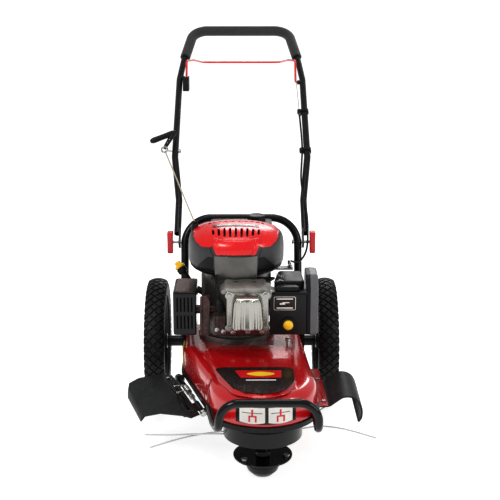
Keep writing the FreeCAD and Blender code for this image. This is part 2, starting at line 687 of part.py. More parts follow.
def spark_plug():
    """The spark plug in its boot, with the lead up to the blower housing."""
    x = size("cylinder_x")
    plug = Part.makeCylinder(8, 14, V(x - 53, -276, 392), V(-1, 0, 0))
    boot = Part.makeCylinder(10, 20, V(x - 67, -276, 392), V(-1, 0, 0))
    lead = tube_shape([(x - 77, -276, 392), (x - 77, -276, 414), (x - 84, -206, 424)], (16,), 3.5)
    node(feature("spark_plug_shape", plug.fuse(boot).fuse(lead).removeSplitter()), "spark_plug")


def exhaust():
    """The muffler with its heat shield, inside a slotted guard."""
    can = Part.makeBox(50, 116, 102, V(-167, -243, 290))
    stub = Part.makeCylinder(11, 96, V(-118, -225, 345), V(1, 0, 0))
    shield = Part.makeBox(16, 3, 105, V(-98, -262, 290))
    shield = shield.fuse(Part.makeBox(2, 40, 105, V(-98, -262, 290)))
    barrel_side = Part.makeBox(60, 80, 84, V(size("cylinder_x") - 46, -250, size("cylinder_z") - 44))
    shape = can.fuse(stub.cut(barrel_side)).fuse(shield)
    shape = shape.cut(Part.makeBox(46, 112, 98, V(-165, -241, 292)))
    solids = sorted(shape.removeSplitter().Solids, key=lambda solid: -solid.Volume)
    node(feature("muffler_shape", solids[0]), "muffler")

    guard = Part.makeBox(60, 130, 118, V(-176, -250, 282))
    guard = guard.cut(Part.makeBox(62, 126, 114, V(-174, -248, 284)))
    for row in (298.0, 344.0):
        for step in range(5):
            guard = guard.cut(Part.makeBox(5, 20, 38, V(-169 + 10 * step, -260, row)))
            guard = guard.cut(Part.makeBox(20, 8, 38, V(-186, -240 + 22 * step, row)))
    node(feature("muffler_guard_shape", guard), "muffler_guard")


def intake():
    """Carburettor, air filter box with its cover, and the primer bulb."""
    body = Part.makeBox(44, 46, 48, V(78, -226, 332))
    pipe = Part.makeCylinder(13, 20, V(61, -205, 356), V(1, 0, 0))
    filter_pipe = Part.makeCylinder(15, 14, V(100, -226, 356), V(0, -1, 0))
    node(feature("carburettor_shape", body.fuse(pipe).fuse(filter_pipe).removeSplitter()),
         "carburettor")

    case = Part.makeBox(93, 28, 109, V(72, -268, 290))
    case = case.cut(Part.makeBox(85, 24, 101, V(76, -264, 294)))
    seat = Part.makeCylinder(17.5, 8, V(119, -268, 318), V(0, -1, 0))
    well = Part.makeCylinder(13.4, 8, V(119, -268, 318), V(0, -1, 0))
    case = case.fuse(seat.cut(well)).removeSplitter()
    node(feature("air_filter_base_shape", case), "air_filter_base")

    cover = padded("air_filter_cover_body", [(-262, 285), (-262, 412), (-236, 440), (-160, 440),
                                             (-150, 412), (-150, 285)], 32.0, "YZ_Plane")
    round_edges(cover, 6.0, lambda edge: all(end.X > 31 for end in edge.Vertexes))
    node(cover, "air_filter_cover", (165, 0, 0))

    bulb = turned("primer_bulb_body", [(0, 5), (13, 5), (13, 9), (11.5, 12.5), (7, 15), (0, 16)])
    node(bulb, "primer_bulb", (119, -268, 318), ROT(V(1, 0, 0), 90))


def covers():
    """Blower housing, metallic front trim, red top cover and the recoil pulley under it."""
    centre = ("dims.crank_x", "dims.crank_y", 0)
    wide, top, base = "dims.shroud_radius", "dims.shroud_top", "dims.block_top"
    housing = turned("blower_housing_body", [
        (80, base), (108, base), (wide, f"{base} + 20"), (wide, f"{top} - 36"), (112, top),
        (72, top), (72, f"{top} - 3"), (110, f"{top} - 3"), (f"{wide} - 3", f"{top} - 37"),
        (f"{wide} - 3", f"{base} + 21"), (106.6, f"{base} + 3"), (80, f"{base} + 3")])
    node(housing, "blower_housing", centre)

    outer = cylinder("trim_outer", "dims.shroud_radius + 2.4", 52.0, (0, 0, 0))
    inner = cylinder("trim_inner", "dims.shroud_radius + 0.1", 52.0, (0, 0, 0))
    window = box("trim_window", (-54, -140, 0), (54, -60, 52))
    ring = cut("trim_ring", outer, inner)
    trim = DOC.addObject("Part::Common", "trim_common")
    trim.Base = ring
    trim.Tool = window
    node(trim, "front_trim", ("dims.crank_x", "dims.crank_y", 438))

    cover = turned("top_cover_body", [
        (0, f"{top} + 2"), (5, f"{top} + 2"), (5, f"{top} + 18"), (40, f"{top} + 18"),
        (66, f"{top} + 16"), (87, f"{top} + 12.5"), (102, f"{top} + 7.5"), (109, f"{top} + 2"),
        (109, top), (112, top), (112, f"{top} + 3"), (104, f"{top} + 10"), (88, f"{top} + 15.5"),
        (66, f"{top} + 19"), (40, f"{top} + 21"), (0, f"{top} + 21")])
    slots = [box(f"cover_slot_{step}", (-50 + 12 * step, -100, size("shroud_top") + 5),
                 (-45 + 12 * step, -70, size("shroud_top") + 30)) for step in range(9)]
    node(cut("top_cover_cut", cover, fused("cover_slots", slots)), "top_cover", centre)

    pulley = turned("recoil_pulley_body", [
        ("5 + dims.running_clearance", f"{top} + 4"), (50, f"{top} + 4"), (50, f"{top} + 6"),
        (46, f"{top} + 6"), (46, f"{top} + 11"), (50, f"{top} + 11"), (50, f"{top} + 13"),
        ("5 + dims.running_clearance", f"{top} + 13")])
    node(pulley, "recoil_pulley", centre)


def tanks():
    """The fuel tank with its cap, and the oil filler with its cap."""
    shape = Part.makeBox(170, 64, 125, V(-85, 24, 385))
    shape = shape.makeFillet(14, [e for e in shape.Edges if abs(e.tangentAt(0).z) > 0.9])
    neck = Part.makeCylinder(18, 12, V(42, 52, 506))
    arm = Part.makeBox(60, 60, 5, V(-30, -20.5, 380))
    near = Part.makeCylinder(size("block_radius"), 60, V(size("crank_x"), size("crank_y"), 360))
    shape = shape.fuse(neck).fuse(arm.cut(near)).removeSplitter()
    node(feature("fuel_tank_shape", shape), "fuel_tank")
    cap = turned("fuel_cap_body", [
        (18.3, -3), ("dims.cap_radius", -3), ("dims.cap_radius", 13), ("dims.cap_radius - 3", 17),
        (0, 17), (0, 12.4), (18.3, 12.4)])
    node(cap, "fuel_cap", (42, 52, 513.4))

    route = [(-60, -92, 325), (-132, -62, 356), (-169, -46, 408)]
    filler = tube_shape(route, (40,), 9.0, 6.5)
    filler = filler.cut(Part.makeCylinder(size("block_radius"), 300,
                                          V(size("crank_x"), size("crank_y"), 200)))
    solids = sorted(filler.Solids, key=lambda solid: -solid.Volume)
    node(feature("oil_filler_shape", solids[0]), "oil_filler")
    axis = V(*route[2]) - V(*route[1])
    tip = V(*route[2]) + axis.normalize() * 0.4
    oil_cap = turned("oil_cap_body", [(0, 0), (14, 0), (14, 7), (11, 9), (5, 11), (5, 19), (0, 19)])
    node(oil_cap, "oil_cap", (tip.x, tip.y, tip.z), ROT(V(0, 0, 1), axis))


def brake_lever():
    """The pivoting lever at the engine's right that the brake cable pulls."""
    blade = Part.makeBox(10, 34, 3, V(127, -52, 409))
    blade = blade.fuse(Part.makeCylinder(7, 3, V(132, -52, 409)))
    blade = blade.fuse(Part.makeCylinder(5, 9, V(132, -20, 409)))
    blade = blade.cut(Part.makeCylinder(3 + size("running_clearance"), 20, V(132, -52, 400)))
    node(feature("brake_lever_shape", blade.removeSplitter()), "brake_lever")


# ---------------------------------------------------------------- frame, handle and controls
def lower_frame():
    """The welded lower frame: a tube hoop that stands on the axle tube, with its side plates."""
    x, r = size("hoop_half_width"), size("hoop_tube_radius")
    slope = size("pivot_y") / (size("pivot_z") - 186.0)
    top = (slope * (507.0 - 186.0), 507.0)
    route = [(-x, 0, 186), (-x, *top), (x, *top), (x, 0, 186)]
    corner = size("hoop_corner_radius")
    shape = tube_shape(route, (corner, corner), r, r - size("tube_wall"))
    height = size("wheel_diameter") / 2
    shape = shape.cut(Part.makeCylinder(size("axle_tube_radius"), 400, V(-200, 0, height), V(1, 0, 0)))
    pivot = V(-200, size("pivot_y"), size("pivot_z"))
    shape = shape.cut(Part.makeCylinder(size("pivot_bolt_radius") + 0.05, 400, pivot, V(1, 0, 0)))
    shape = shape.fuse(axle_carrier()).removeSplitter()
    node(feature("lower_frame_shape", shape), "lower_frame")


def handle_route():
    """The right half of the handle tube, from its lower end to the top corner."""
    half = size("handle_half_width")
    return [(182, 112, 460.2), (182, 212, 536), (half, 347, 639), (half, 665, 836),
            (half - 10, 746, 886), (160, size("grip_y"), size("grip_z"))]


def handle():
    """The folding upper handle with its flattened ends, and its foam grip."""
    r = size("handle_tube_radius")
    right = handle_route()
    bends = (60, 90, 90, 60, 55)
    route = [(-x, y, z) for x, y, z in right] + right[::-1]
    radii = bends[:5] + bends[:5][::-1]
    shape = tube_shape(route, radii, r, r - size("tube_wall"))
    pivot = V(0, size("pivot_y"), size("pivot_z"))
    rise = math.degrees(math.atan2(536 - size("pivot_z"), 212 - size("pivot_y")))
    for sign in (-1, 1):
        lug = Part.makeBox(6, 54, 24, V(0, -12, -12))
        lug.Placement = FreeCAD.Placement(pivot + V(172 if sign > 0 else -178, 0, 0),
                                          ROT(V(1, 0, 0), rise))
        shape = shape.fuse(lug)
        boss = Part.makeCylinder(7, 11, V(sign * 182.5, size("bail_y"), size("bail_z")), V(sign, 0, 0))
        if sign > 0:
            shape = shape.fuse(boss)
    shape = shape.cut(Part.makeCylinder(size("pivot_bolt_radius") + 0.08, 420,
                                        V(-210, pivot.y, pivot.z), V(1, 0, 0)))
    pin_bore = size("bail_rod_radius") + size("running_clearance")
    bore = Part.makeCylinder(pin_bore, 14, V(180, size("bail_y"), size("bail_z")), V(1, 0, 0))
    node(feature("upper_handle_shape", shape.cut(bore).removeSplitter()), "upper_handle")

    leg, corner = V(*right[4]), V(*right[5])
    start = leg + (corner - leg) * 0.14
    grip_right = [tuple(start), tuple(corner)]
    grip_route = [(-x, y, z) for x, y, z in grip_right] + grip_right[::-1]
    grip = tube_shape(grip_route, (55, 55), size("grip_radius"), r)
    node(feature("foam_grip_shape", grip), "foam_grip")


def bail():
    """The red operator bar on its two pivots, with the hidden box on its left pivot."""
    y, z, r = size("bail_y"), size("bail_z"), size("bail_rod_radius")
    right = [(189.5, y, z), (177, y, z), (177, y + 34, z + 66), (158, y + 104, z + 62),
             (134, 905, 870)]
    route = [(-px, py, pz) for px, py, pz in right] + right[::-1]
    radii = (6, 12, 30, 30)
    shape = tube_shape(route, radii + radii[::-1], r)
    node(feature("bail_shape", shape), "bail")

    case = Part.makeBox(20, 44, 46, V(-188.2, y - 24, z - 26))
    slot = Part.makeBox(10.5, 60, 60, V(-182.5, y - 12, z - 8))
    pin = Part.makeCylinder(r + size("running_clearance"), 20, V(-195, y, z), V(1, 0, 0))
    tube = Part.makeCylinder(size("handle_tube_radius") + 0.5, 400, V(-200, y - 200, z - 123.8),
                             V(0, 665 - 347, 836 - 639))
    case = case.cut(slot).cut(pin).cut(tube)
    solids = sorted(case.Solids, key=lambda solid: -solid.Volume)
    node(feature("control_box_shape", solids[0]), "control_box")


def knobs():
    """The two red hand knobs; gives back the fold bolts they turn on."""
    y, z = size("pivot_y"), size("pivot_z")
    bolts = []
    for side, sign in (("left", -1), ("right", 1)):
        bolts.append(bolt_shape((sign * 147, y, z), (sign, 0, 0), size("pivot_bolt_radius"), 57.5,
                                7, 4))
        disc = padded(f"knob_{side}_body", [
            ("-dims.knob_width / 2", "-dims.knob_height / 2"),
            ("dims.knob_width / 2", "-dims.knob_height / 2"),
            ("dims.knob_width / 2", "dims.knob_height / 2"),
            ("-dims.knob_width / 2", "dims.knob_height / 2")], "dims.knob_depth")
        round_edges(disc, 7.0, lambda edge: abs(edge.tangentAt(edge.FirstParameter).z) > 0.9)
        neck = cylinder(f"knob_neck_{side}", 9.0, 15.0, (0, 0, -14.6))
        hole = cylinder(f"knob_bore_{side}", "dims.pivot_bolt_radius + dims.running_clearance",
                        28.0, (0, 0, -15))
        whole = cut(f"knob_cut_{side}", fused(f"knob_fuse_{side}", [disc, neck]), hole)
        turn = ROT(V(0, 1, 0), 90 * sign)
        node(whole, f"knob_{side}", (sign * 193.2, "dims.pivot_y", "dims.pivot_z"), turn)
    return bolts


CABLE_ROUTE = [(183.5, 520.5, 746.5), (185, 470, 716), (186.5, 420, 684), (186.2, 372, 655),
               (181, 318, 618), (177, 272, 592), (178, 228, 567), (185, 186, 536), (189.5, 148, 506),
               (190, 116, 480), (188, 86, 465), (187, 62, 443), (181, 48, 420), (168, 34, 403),
               (150, 16, 401), (139, -4, 411)]


def cables():
    """The brake cable: its sheath between two clips, and the bare inner wire to the bail."""
    radius = 2.8
    sheath = cord_shape("brake_cable", CABLE_ROUTE, radius)
    slope = 836 - 639, 665 - 347
    along = V(0, slope[1], slope[0]).normalize()
    clamps = []
    beside = V(-16.5, 0, 0)
    passage = swept(rounded_path(CABLE_ROUTE, cord_radii("cable passage", CABLE_ROUTE)), radius + 0.2)
    for y_at in (527.0, 372.0):
        centre = V(200, y_at, 639 + (y_at - 347) * slope[0] / slope[1])
        ring = Part.makeCylinder(13, 14, centre - along * 7, along)
        ring = ring.fuse(Part.makeCylinder(6.5, 14, centre + beside - along * 7, along))
        tube = Part.makeCylinder(size("handle_tube_radius"), 60, centre - along * 30, along)
        ring = ring.cut(tube).cut(passage)
        clamps.append(ring.cut(Part.makeCylinder(1.5, 60, centre + beside - along * 5, along)))
    node(feature("cable_clips_shape", Part.makeCompound(clamps)), "cable_clips")

    arm = V(177, size("bail_y") + 13.6, size("bail_z") + 26.4)
    exit_point = V(183.5, 533.5, 754.6)
    way = arm - exit_point
    wire = Part.makeCylinder(0.9, way.Length - 10, exit_point, way)
    node(feature("brake_cable_shape", Part.makeCompound([sheath, wire])), "brake_cable")


EYE = (-233.0, 370.0, 658.0)
ROPE_START = (-123.0, -97.0, 542.0)


def starter():
    """The pigtail guide on the handle, the taut starter rope and its handle."""
    eye, start = V(*EYE), V(*ROPE_START)
    way = eye - start
    heading = V(way).normalize()
    rope = Part.makeCylinder(2.0, way.Length - 7, start, way)
    node(feature("starter_rope_shape", rope), "starter_rope")

    ring = Part.makeTorus(9, 2.5, eye, heading)
    tube_centre = V(-size("handle_half_width"), 370, 639 + 23 * (836 - 639) / (665 - 347))
    foot = V(tube_centre.x - size("handle_tube_radius") + 0.3, tube_centre.y, tube_centre.z)
    touch = eye + V(8, 0, -3)
    stem = Part.makeCylinder(2.5, (touch - foot).Length, foot, touch - foot)
    tube = Part.makeCylinder(size("handle_tube_radius"), 100, tube_centre - V(0, 31.8, 19.7),
                             V(0, 665 - 347, 836 - 639))
    nut = Part.makeCylinder(6, 8, tube_centre + V(9, 0, 0), V(1, 0, 0)).cut(tube)
    guide = ring.fuse(stem).cut(tube).removeSplitter()
    node(feature("rope_guide_shape", Part.makeCompound([guide, nut])), "rope_guide")

    joint = eye + heading * 5 + V(1, 0, 2)
    elbow = V(-205, 392, 706)
    tail = V(-277, 378, 680)
    stem = Part.makeCone(7, 9, (elbow - joint).Length, joint, elbow - joint)
    bar = Part.makeCylinder(9, (tail - elbow).Length, elbow, tail - elbow)
    shape = stem.fuse(bar).fuse(Part.makeSphere(9, elbow)).fuse(Part.makeSphere(9, tail))
    shape = shape.cut(Part.makeTorus(9, 3.2, eye, heading))
    node(feature("starter_handle_shape", shape.removeSplitter()), "starter_handle")


# ---------------------------------------------------------------- build and write
def check_and_write():
    """Stop at any failed object, then write each sub-part's shape."""
    DOC.recompute()
    for item in DOC.Objects:
        if {"Invalid", "Error"} & set(item.State):
            raise RuntimeError(f"{item.Name} failed: {item.State}")
    labels = [item.Label for item in NODES]
    if len(labels) != len(set(labels)) or len(labels) > 60:
        raise RuntimeError(f"{len(labels)} sub-parts, {len(set(labels))} names")
    os.makedirs("parts", exist_ok=True)
    for item in NODES:
        shape = item.Shape
        if shape.isNull() or not shape.isValid() or shape.Volume <= 0 or not shape.Solids:
            raise RuntimeError(f"{item.Label} has no valid solid")
        shape.exportStep(f"parts/{item.Label}.step")
    print(f"{len(NODES)} sub-parts written")


def main():
    fill_sheet()
    wheels()
    lower_frame()
    axle()
    deck()
    DOC.recompute()
    flap()
    right_guard()
    bumper([DOC.getObject("deck_outer").Shape, DOC.getObject("pan_outer").Shape])
    trimmer_head()
    drive()
    trimmer_lines()
    bolts = engine_core()
    spark_plug()
    exhaust()
    intake()
    covers()
    tanks()
    brake_lever()
    handle()
    bail()
    bolts += knobs()
    top = size("pan_base")
    bolts += [bolt_shape((x, y, top), (0, 0, -1), 3, 12, 6, 4) for x, y in guard_bolt_sites()]
    node(feature("frame_bolts_shape", Part.makeCompound(bolts)), "frame_bolts")
    cables()
    starter()
    check_and_write()


main()
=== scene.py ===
"""Looks for a walk-behind string trimmer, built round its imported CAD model."""
import math

import bpy
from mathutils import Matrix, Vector


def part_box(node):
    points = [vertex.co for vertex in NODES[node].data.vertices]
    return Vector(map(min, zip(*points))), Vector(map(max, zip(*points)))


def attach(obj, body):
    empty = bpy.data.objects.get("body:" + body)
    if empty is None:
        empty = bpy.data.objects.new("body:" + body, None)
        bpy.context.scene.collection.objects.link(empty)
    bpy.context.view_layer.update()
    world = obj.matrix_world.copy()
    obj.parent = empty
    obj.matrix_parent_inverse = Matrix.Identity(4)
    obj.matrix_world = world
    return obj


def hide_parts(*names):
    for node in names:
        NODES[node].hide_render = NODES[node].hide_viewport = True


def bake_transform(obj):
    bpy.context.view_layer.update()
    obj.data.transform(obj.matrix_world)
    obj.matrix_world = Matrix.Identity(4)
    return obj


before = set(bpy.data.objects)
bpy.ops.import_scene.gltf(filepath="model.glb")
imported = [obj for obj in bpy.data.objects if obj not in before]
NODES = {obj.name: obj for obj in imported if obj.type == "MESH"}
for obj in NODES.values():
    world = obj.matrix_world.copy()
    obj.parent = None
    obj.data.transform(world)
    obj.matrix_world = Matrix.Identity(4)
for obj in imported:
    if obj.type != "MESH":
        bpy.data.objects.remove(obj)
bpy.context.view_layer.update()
SCENE = bpy.context.scene
AXLE_LOW, AXLE_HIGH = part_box("axle")
AXLE_Y = (AXLE_LOW.y + AXLE_HIGH.y) / 2


def at(x, y, z):
    """A point in the row frame, from millimetres measured from the ground under the axle."""
    return Vector((x / 1000, y / 1000 + AXLE_Y, z / 1000))


def upright(u, v, w):
    """The same for a flat outline stood on its edge: u across, v up and w in depth."""
    return at(u, w, v)


# ---------------------------------------------------------------- materials
class Nodes:
    """A short way to write a material's node tree."""

    def __init__(self, name):
        self.material = bpy.data.materials.new(name)
        self.material.use_nodes = True
        self.tree = self.material.node_tree
        self.shader = self.tree.nodes["Principled BSDF"]
        self.place = self.add("ShaderNodeTexCoord").outputs["Object"]

    def add(self, kind, **values):
        made = self.tree.nodes.new(kind)
        for key, value in values.items():
            setattr(made, key, value)
        return made

    def link(self, source, target):
        self.tree.links.new(source, target)

    def noise(self, scale, detail=3.0, rough=0.55, stretch=None):
        made = self.add("ShaderNodeTexNoise")
        made.inputs["Scale"].default_value = scale
        made.inputs["Detail"].default_value = detail
        made.inputs["Roughness"].default_value = rough
        place = self.place
        if stretch:
            mapping = self.add("ShaderNodeMapping")
            mapping.inputs["Scale"].default_value = stretch
            self.link(place, mapping.inputs["Vector"])
            place = mapping.outputs["Vector"]
        self.link(place, made.inputs["Vector"])
        return made.outputs["Fac"]

    def ramp(self, source, low, high, start, end):
        made = self.add("ShaderNodeMapRange")
        made.inputs["From Min"].default_value = start
        made.inputs["From Max"].default_value = end
        made.inputs["To Min"].default_value = low
        made.inputs["To Max"].default_value = high
        self.link(source, made.inputs["Value"])
        return made.outputs["Result"]

    def blend(self, fac, first, second):
        made = self.add("ShaderNodeMix", data_type="RGBA")
        self.link(fac, made.inputs["Factor"])
        for socket, value in ((6, first), (7, second)):
            if isinstance(value, tuple):
                made.inputs[socket].default_value = (*value, 1.0)
            else:
                self.link(value, made.inputs[socket])
        return made.outputs[2]

    def math(self, operation, first, second=None):
        made = self.add("ShaderNodeMath", operation=operation)
        for socket, value in ((0, first), (1, second)):
            if isinstance(value, (int, float)):
                made.inputs[socket].default_value = value
            elif value is not None:
                self.link(value, made.inputs[socket])
        return made.outputs[0]

    def bump(self, height, distance, strength=1.0, normal=None):
        made = self.add("ShaderNodeBump")
        made.inputs["Distance"].default_value = distance
        made.inputs["Strength"].default_value = strength
        self.link(height, made.inputs["Height"])
        if normal is not None:
            self.link(normal, made.inputs["Normal"])
        return made.outputs["Normal"]

    def set(self, **values):
        for key, value in values.items():
            socket = self.shader.inputs[key.replace("_", " ")]
            if hasattr(value, "links") or isinstance(value, bpy.types.NodeSocket):
                self.link(value, socket)
            else:
                socket.default_value = value
        return self


def tint(color, gain):
    return tuple(min(1.0, c * gain) for c in color)


def surface(name, color, rough, metallic=0.0, coat=0.0, coat_rough=0.06, grain=900.0,
            grain_height=0.00004, spread=0.12, rough_spread=0.08, dust=0.0, stretch=None, specular=0.5):
    """A paint, plastic, rubber or metal: colour clouds, a fine grain, uneven gloss and some dust."""
    m = Nodes(name)
    clouds = m.noise(18.0, 4.0)
    fine = m.noise(grain, 2.0, 0.6, stretch)
    base = m.blend(m.ramp(clouds, 0.0, 1.0, 0.3, 0.7), tint(color, 1 - spread), tint(color, 1 + spread))
    if dust:
        patches = m.noise(55.0, 6.0, 0.7)
        base = m.blend(m.ramp(patches, 0.0, dust, 0.5, 0.8), base, (0.34, 0.31, 0.27))
    gloss = m.ramp(m.noise(42.0, 5.0, 0.65), rough - rough_spread, rough + rough_spread, 0.3, 0.7)
    m.set(Base_Color=base, Roughness=gloss, Metallic=metallic, Coat_Weight=coat,
          Coat_Roughness=coat_rough, Normal=m.bump(fine, grain_height))
    m.shader.inputs["Specular IOR Level"].default_value = specular
    return m.material


def enamel(name, color, deep):
    """Gloss enamel over pressed steel: a slight orange peel under a clear coat."""
    m = Nodes(name)
    clouds = m.noise(6.0, 3.0)
    base = m.blend(m.ramp(clouds, 0.0, 1.0, 0.35, 0.65), color, deep)
    flake = m.noise(2600.0, 1.0)
    base = m.blend(m.ramp(flake, 0.0, 0.08, 0.55, 0.8), base, tint(color, 1.35))
    peel = m.noise(260.0, 2.0)
    m.set(Base_Color=base, Roughness=m.ramp(m.noise(30.0, 4.0), 0.2, 0.3, 0.3, 0.7),
          Coat_Weight=1.0, Coat_Roughness=0.05, Normal=m.bump(peel, 0.00003, 0.6))
    return m.material


def brushed(name, color, rough, stretch, depth=0.00003):
    """Metal with fine parallel scratches along one axis."""
    m = Nodes(name)
    lines = m.noise(700.0, 3.0, 0.6, stretch)
    base = m.blend(m.ramp(m.noise(25.0, 4.0), 0.0, 1.0, 0.3, 0.7), tint(color, 0.85), tint(color, 1.1))
    m.set(Base_Color=base, Metallic=1.0, Roughness=m.ramp(lines, rough - 0.08, rough + 0.1, 0.3, 0.7),
          Normal=m.bump(lines, depth))
    return m.material


def casting(name, color, rough):
    """Sand-cast metal: coarse pits, dark grime in the hollows."""
    m = Nodes(name)
    pits = m.noise(420.0, 5.0, 0.7)
    grime = m.noise(38.0, 6.0, 0.7)
    base = m.blend(m.ramp(grime, 0.0, 0.75, 0.45, 0.75), color, tint(color, 0.35))
    m.set(Base_Color=base, Metallic=0.9, Roughness=m.ramp(pits, rough - 0.1, rough + 0.12, 0.3, 0.7),
          Normal=m.bump(pits, 0.00025, 0.9))
    return m.material


def heat_stained(name):
    """Steel browned by heat, with a bluish and straw film."""
    m = Nodes(name)
    stain = m.ramp(m.noise(22.0, 5.0, 0.7), 0.0, 1.0, 0.3, 0.7)
    base = m.blend(stain, (0.11, 0.07, 0.063), (0.055, 0.038, 0.04))
    base = m.blend(m.ramp(m.noise(90.0, 4.0), 0.0, 0.6, 0.5, 0.8), base, (0.2, 0.145, 0.13))
    m.set(Base_Color=base, Metallic=0.75, Roughness=m.ramp(m.noise(160.0, 4.0), 0.32, 0.5, 0.3, 0.7),
          Normal=m.bump(m.noise(500.0, 3.0), 0.00006))
    return m.material


def foam_material():
    """Closed-cell foam: small round cells and a dull skin."""
    m = Nodes("foam_skin")
    cells = m.add("ShaderNodeTexVoronoi")
    cells.inputs["Scale"].default_value = 1100.0
    m.link(m.place, cells.inputs["Vector"])
    base = m.blend(m.ramp(cells.outputs["Distance"], 0.0, 1.0, 0.1, 0.6), (0.012, 0.012, 0.013),
                   (0.03, 0.03, 0.032))
    m.set(Base_Color=base, Roughness=m.ramp(m.noise(60.0, 4.0), 0.7, 0.85, 0.3, 0.7),
          Normal=m.bump(cells.outputs["Distance"], 0.00025, 0.8))
    m.shader.inputs["Sheen Weight"].default_value = 0.15
    return m.material


def twisted(name, color, dark, across, pitch):
    """A braided cord: two crossing sets of diagonal strands, in object coordinates."""
    m = Nodes(name)
    waves = []
    for sign in (1, -1):
        wave = m.add("ShaderNodeTexWave", bands_direction="DIAGONAL")
        wave.inputs["Scale"].default_value = pitch
        mapping = m.add("ShaderNodeMapping")
        mapping.inputs["Scale"].default_value = (sign * across, 1.0, 1.0)
        m.link(m.place, mapping.inputs["Vector"])
        m.link(mapping.outputs["Vector"], wave.inputs["Vector"])
        waves.append(wave.outputs["Fac"])
    strands = m.math("MULTIPLY", *waves)
    m.set(Base_Color=m.blend(strands, dark, color), Roughness=m.ramp(strands, 0.9, 0.7, 0.0, 1.0),
          Normal=m.bump(strands, 0.0003, 0.8))
    return m.material


RED = (0.56, 0.004, 0.008)
M = {
    "deck_red": enamel("deck_red", RED, (0.42, 0.002, 0.005)),
    "cover_red": surface("cover_red", (0.66, 0.004, 0.008), 0.26, coat=0.3, coat_rough=0.1, grain=1400.0,
                         grain_height=0.00003, spread=0.06),
    "knob_red": surface("knob_red", (0.55, 0.008, 0.016), 0.3, coat=0.3, coat_rough=0.15, spread=0.08),
    "bar_red": surface("bar_red", (0.6, 0.012, 0.012), 0.28, coat=0.5, spread=0.08, grain=1200.0),
    "frame_black": surface("frame_black", (0.006, 0.006, 0.007), 0.27, coat=0.16, coat_rough=0.18,
                           grain=1500.0, grain_height=0.00004, spread=0.3, dust=0.02, specular=0.22),
    "gloss_black": surface("gloss_black", (0.004, 0.004, 0.005), 0.16, coat=0.36, coat_rough=0.06,
                           grain=700.0, grain_height=0.00002, spread=0.3, specular=0.22),
    "pan_black": surface("pan_black", (0.008, 0.007, 0.008), 0.34, coat=0.14, coat_rough=0.2,
                         dust=0.04, specular=0.22),
    "plastic_black": surface("plastic_black", (0.011, 0.011, 0.012), 0.36, grain=2200.0,
                             grain_height=0.00006, spread=0.2, dust=0.02, specular=0.22),
    "satin_black": surface("satin_black", (0.012, 0.011, 0.012), 0.3, coat=0.2, coat_rough=0.2,
                           grain=1800.0, grain_height=0.00005, spread=0.2, specular=0.22),
    "housing_grey": surface("housing_grey", (0.034, 0.035, 0.038), 0.36, grain=2400.0,
                            grain_height=0.00005, spread=0.1),
    "grey_plastic": surface("grey_plastic", (0.12, 0.12, 0.126), 0.4, grain=2400.0, spread=0.1),
    "rubber_sheet": surface("rubber_sheet", (0.018, 0.019, 0.02), 0.5, grain=650.0,
                            grain_height=0.00012, spread=0.18, dust=0.05, specular=0.22),
    "tyre_rubber": surface("tyre_rubber", (0.016, 0.016, 0.017), 0.48, grain=900.0,
                           grain_height=0.00012, spread=0.25, dust=0.1, specular=0.22),
    "belt_rubber": surface("belt_rubber", (0.02, 0.02, 0.02), 0.7, dust=0.1, specular=0.22),
    "cable_black": surface("cable_black", (0.007, 0.007, 0.008), 0.32, grain=1600.0, spread=0.2,
                           specular=0.22),
    "yellow": surface("yellow", (0.85, 0.52, 0.015), 0.32, coat=0.25, coat_rough=0.15, spread=0.06),
    "sticker_yellow": surface("sticker_yellow", (0.8, 0.56, 0.02), 0.35, spread=0.05),
    "sticker_white": surface("sticker_white", (0.75, 0.72, 0.68), 0.35, spread=0.04),
    "sticker_black": surface("sticker_black", (0.02, 0.014, 0.014), 0.28, coat=0.18, spread=0.15,
                             specular=0.22),
    "sticker_red": surface("sticker_red", (0.6, 0.01, 0.015), 0.3, coat=0.3, spread=0.05),
    "line_nylon": surface("line_nylon", (0.52, 0.54, 0.53), 0.3, coat=0.3, spread=0.08, grain=1500.0),
    "white_ceramic": surface("white_ceramic", (0.6, 0.58, 0.54), 0.2, coat=0.8, dust=0.1),
    "chrome": surface("chrome", (0.4, 0.39, 0.36), 0.2, metallic=1.0, grain=500.0,
                      grain_height=0.00003, spread=0.05, rough_spread=0.05),
    "zinc": surface("zinc", (0.42, 0.42, 0.41), 0.26, metallic=1.0, spread=0.12, grain=700.0),
    "dark_steel": surface("dark_steel", (0.16, 0.16, 0.17), 0.4, metallic=1.0, spread=0.2, dust=0.08),
    "cast": casting("cast", (0.33, 0.32, 0.3), 0.42),
    "plate": brushed("plate", (0.17, 0.165, 0.155), 0.36, (1.0, 1.0, 26.0)),
    "heat_brown": heat_stained("heat_brown"),
    "foam": foam_material(),
    "rope": twisted("rope", (0.72, 0.69, 0.6), (0.3, 0.27, 0.2), 1.0, 260.0),
}

CAD_MATERIAL = {
    "deck_pan": "pan_black", "guard_bracket": "deck_red", "bumper": "gloss_black",
    "hinge_rod": "zinc", "spindle_housing": "cast", "spindle_bearings": "dark_steel",
    "drive_belt": "belt_rubber", "engine_block": "cast", "cylinder_head": "cast",
    "muffler": "heat_brown", "carburettor": "cast", "air_filter_base": "satin_black",
    "fuel_tank": "plastic_black", "oil_filler": "plastic_black", "frame_bolts": "zinc",
    "lower_frame": "frame_black", "axle": "zinc", "upper_handle": "frame_black", "foam_grip": "foam",
    "control_box": "plastic_black", "cable_clips": "plastic_black", "rope_guide": "zinc",
    "crankshaft": "zinc", "flywheel": "cast", "engine_pulley": "dark_steel", "spindle_shaft": "zinc",
    "spindle_pulley": "dark_steel", "line_head": "gloss_black", "head_bolts": "zinc",
    "ground_cup": "pan_black", "rim_left": "satin_black", "rim_right": "satin_black",
    "flap_strip": "frame_black", "flap_bolts": "zinc", "bail": "bar_red", "brake_lever": "zinc",
    "recoil_pulley": "grey_plastic", "flap_rubber": "rubber_sheet",
}
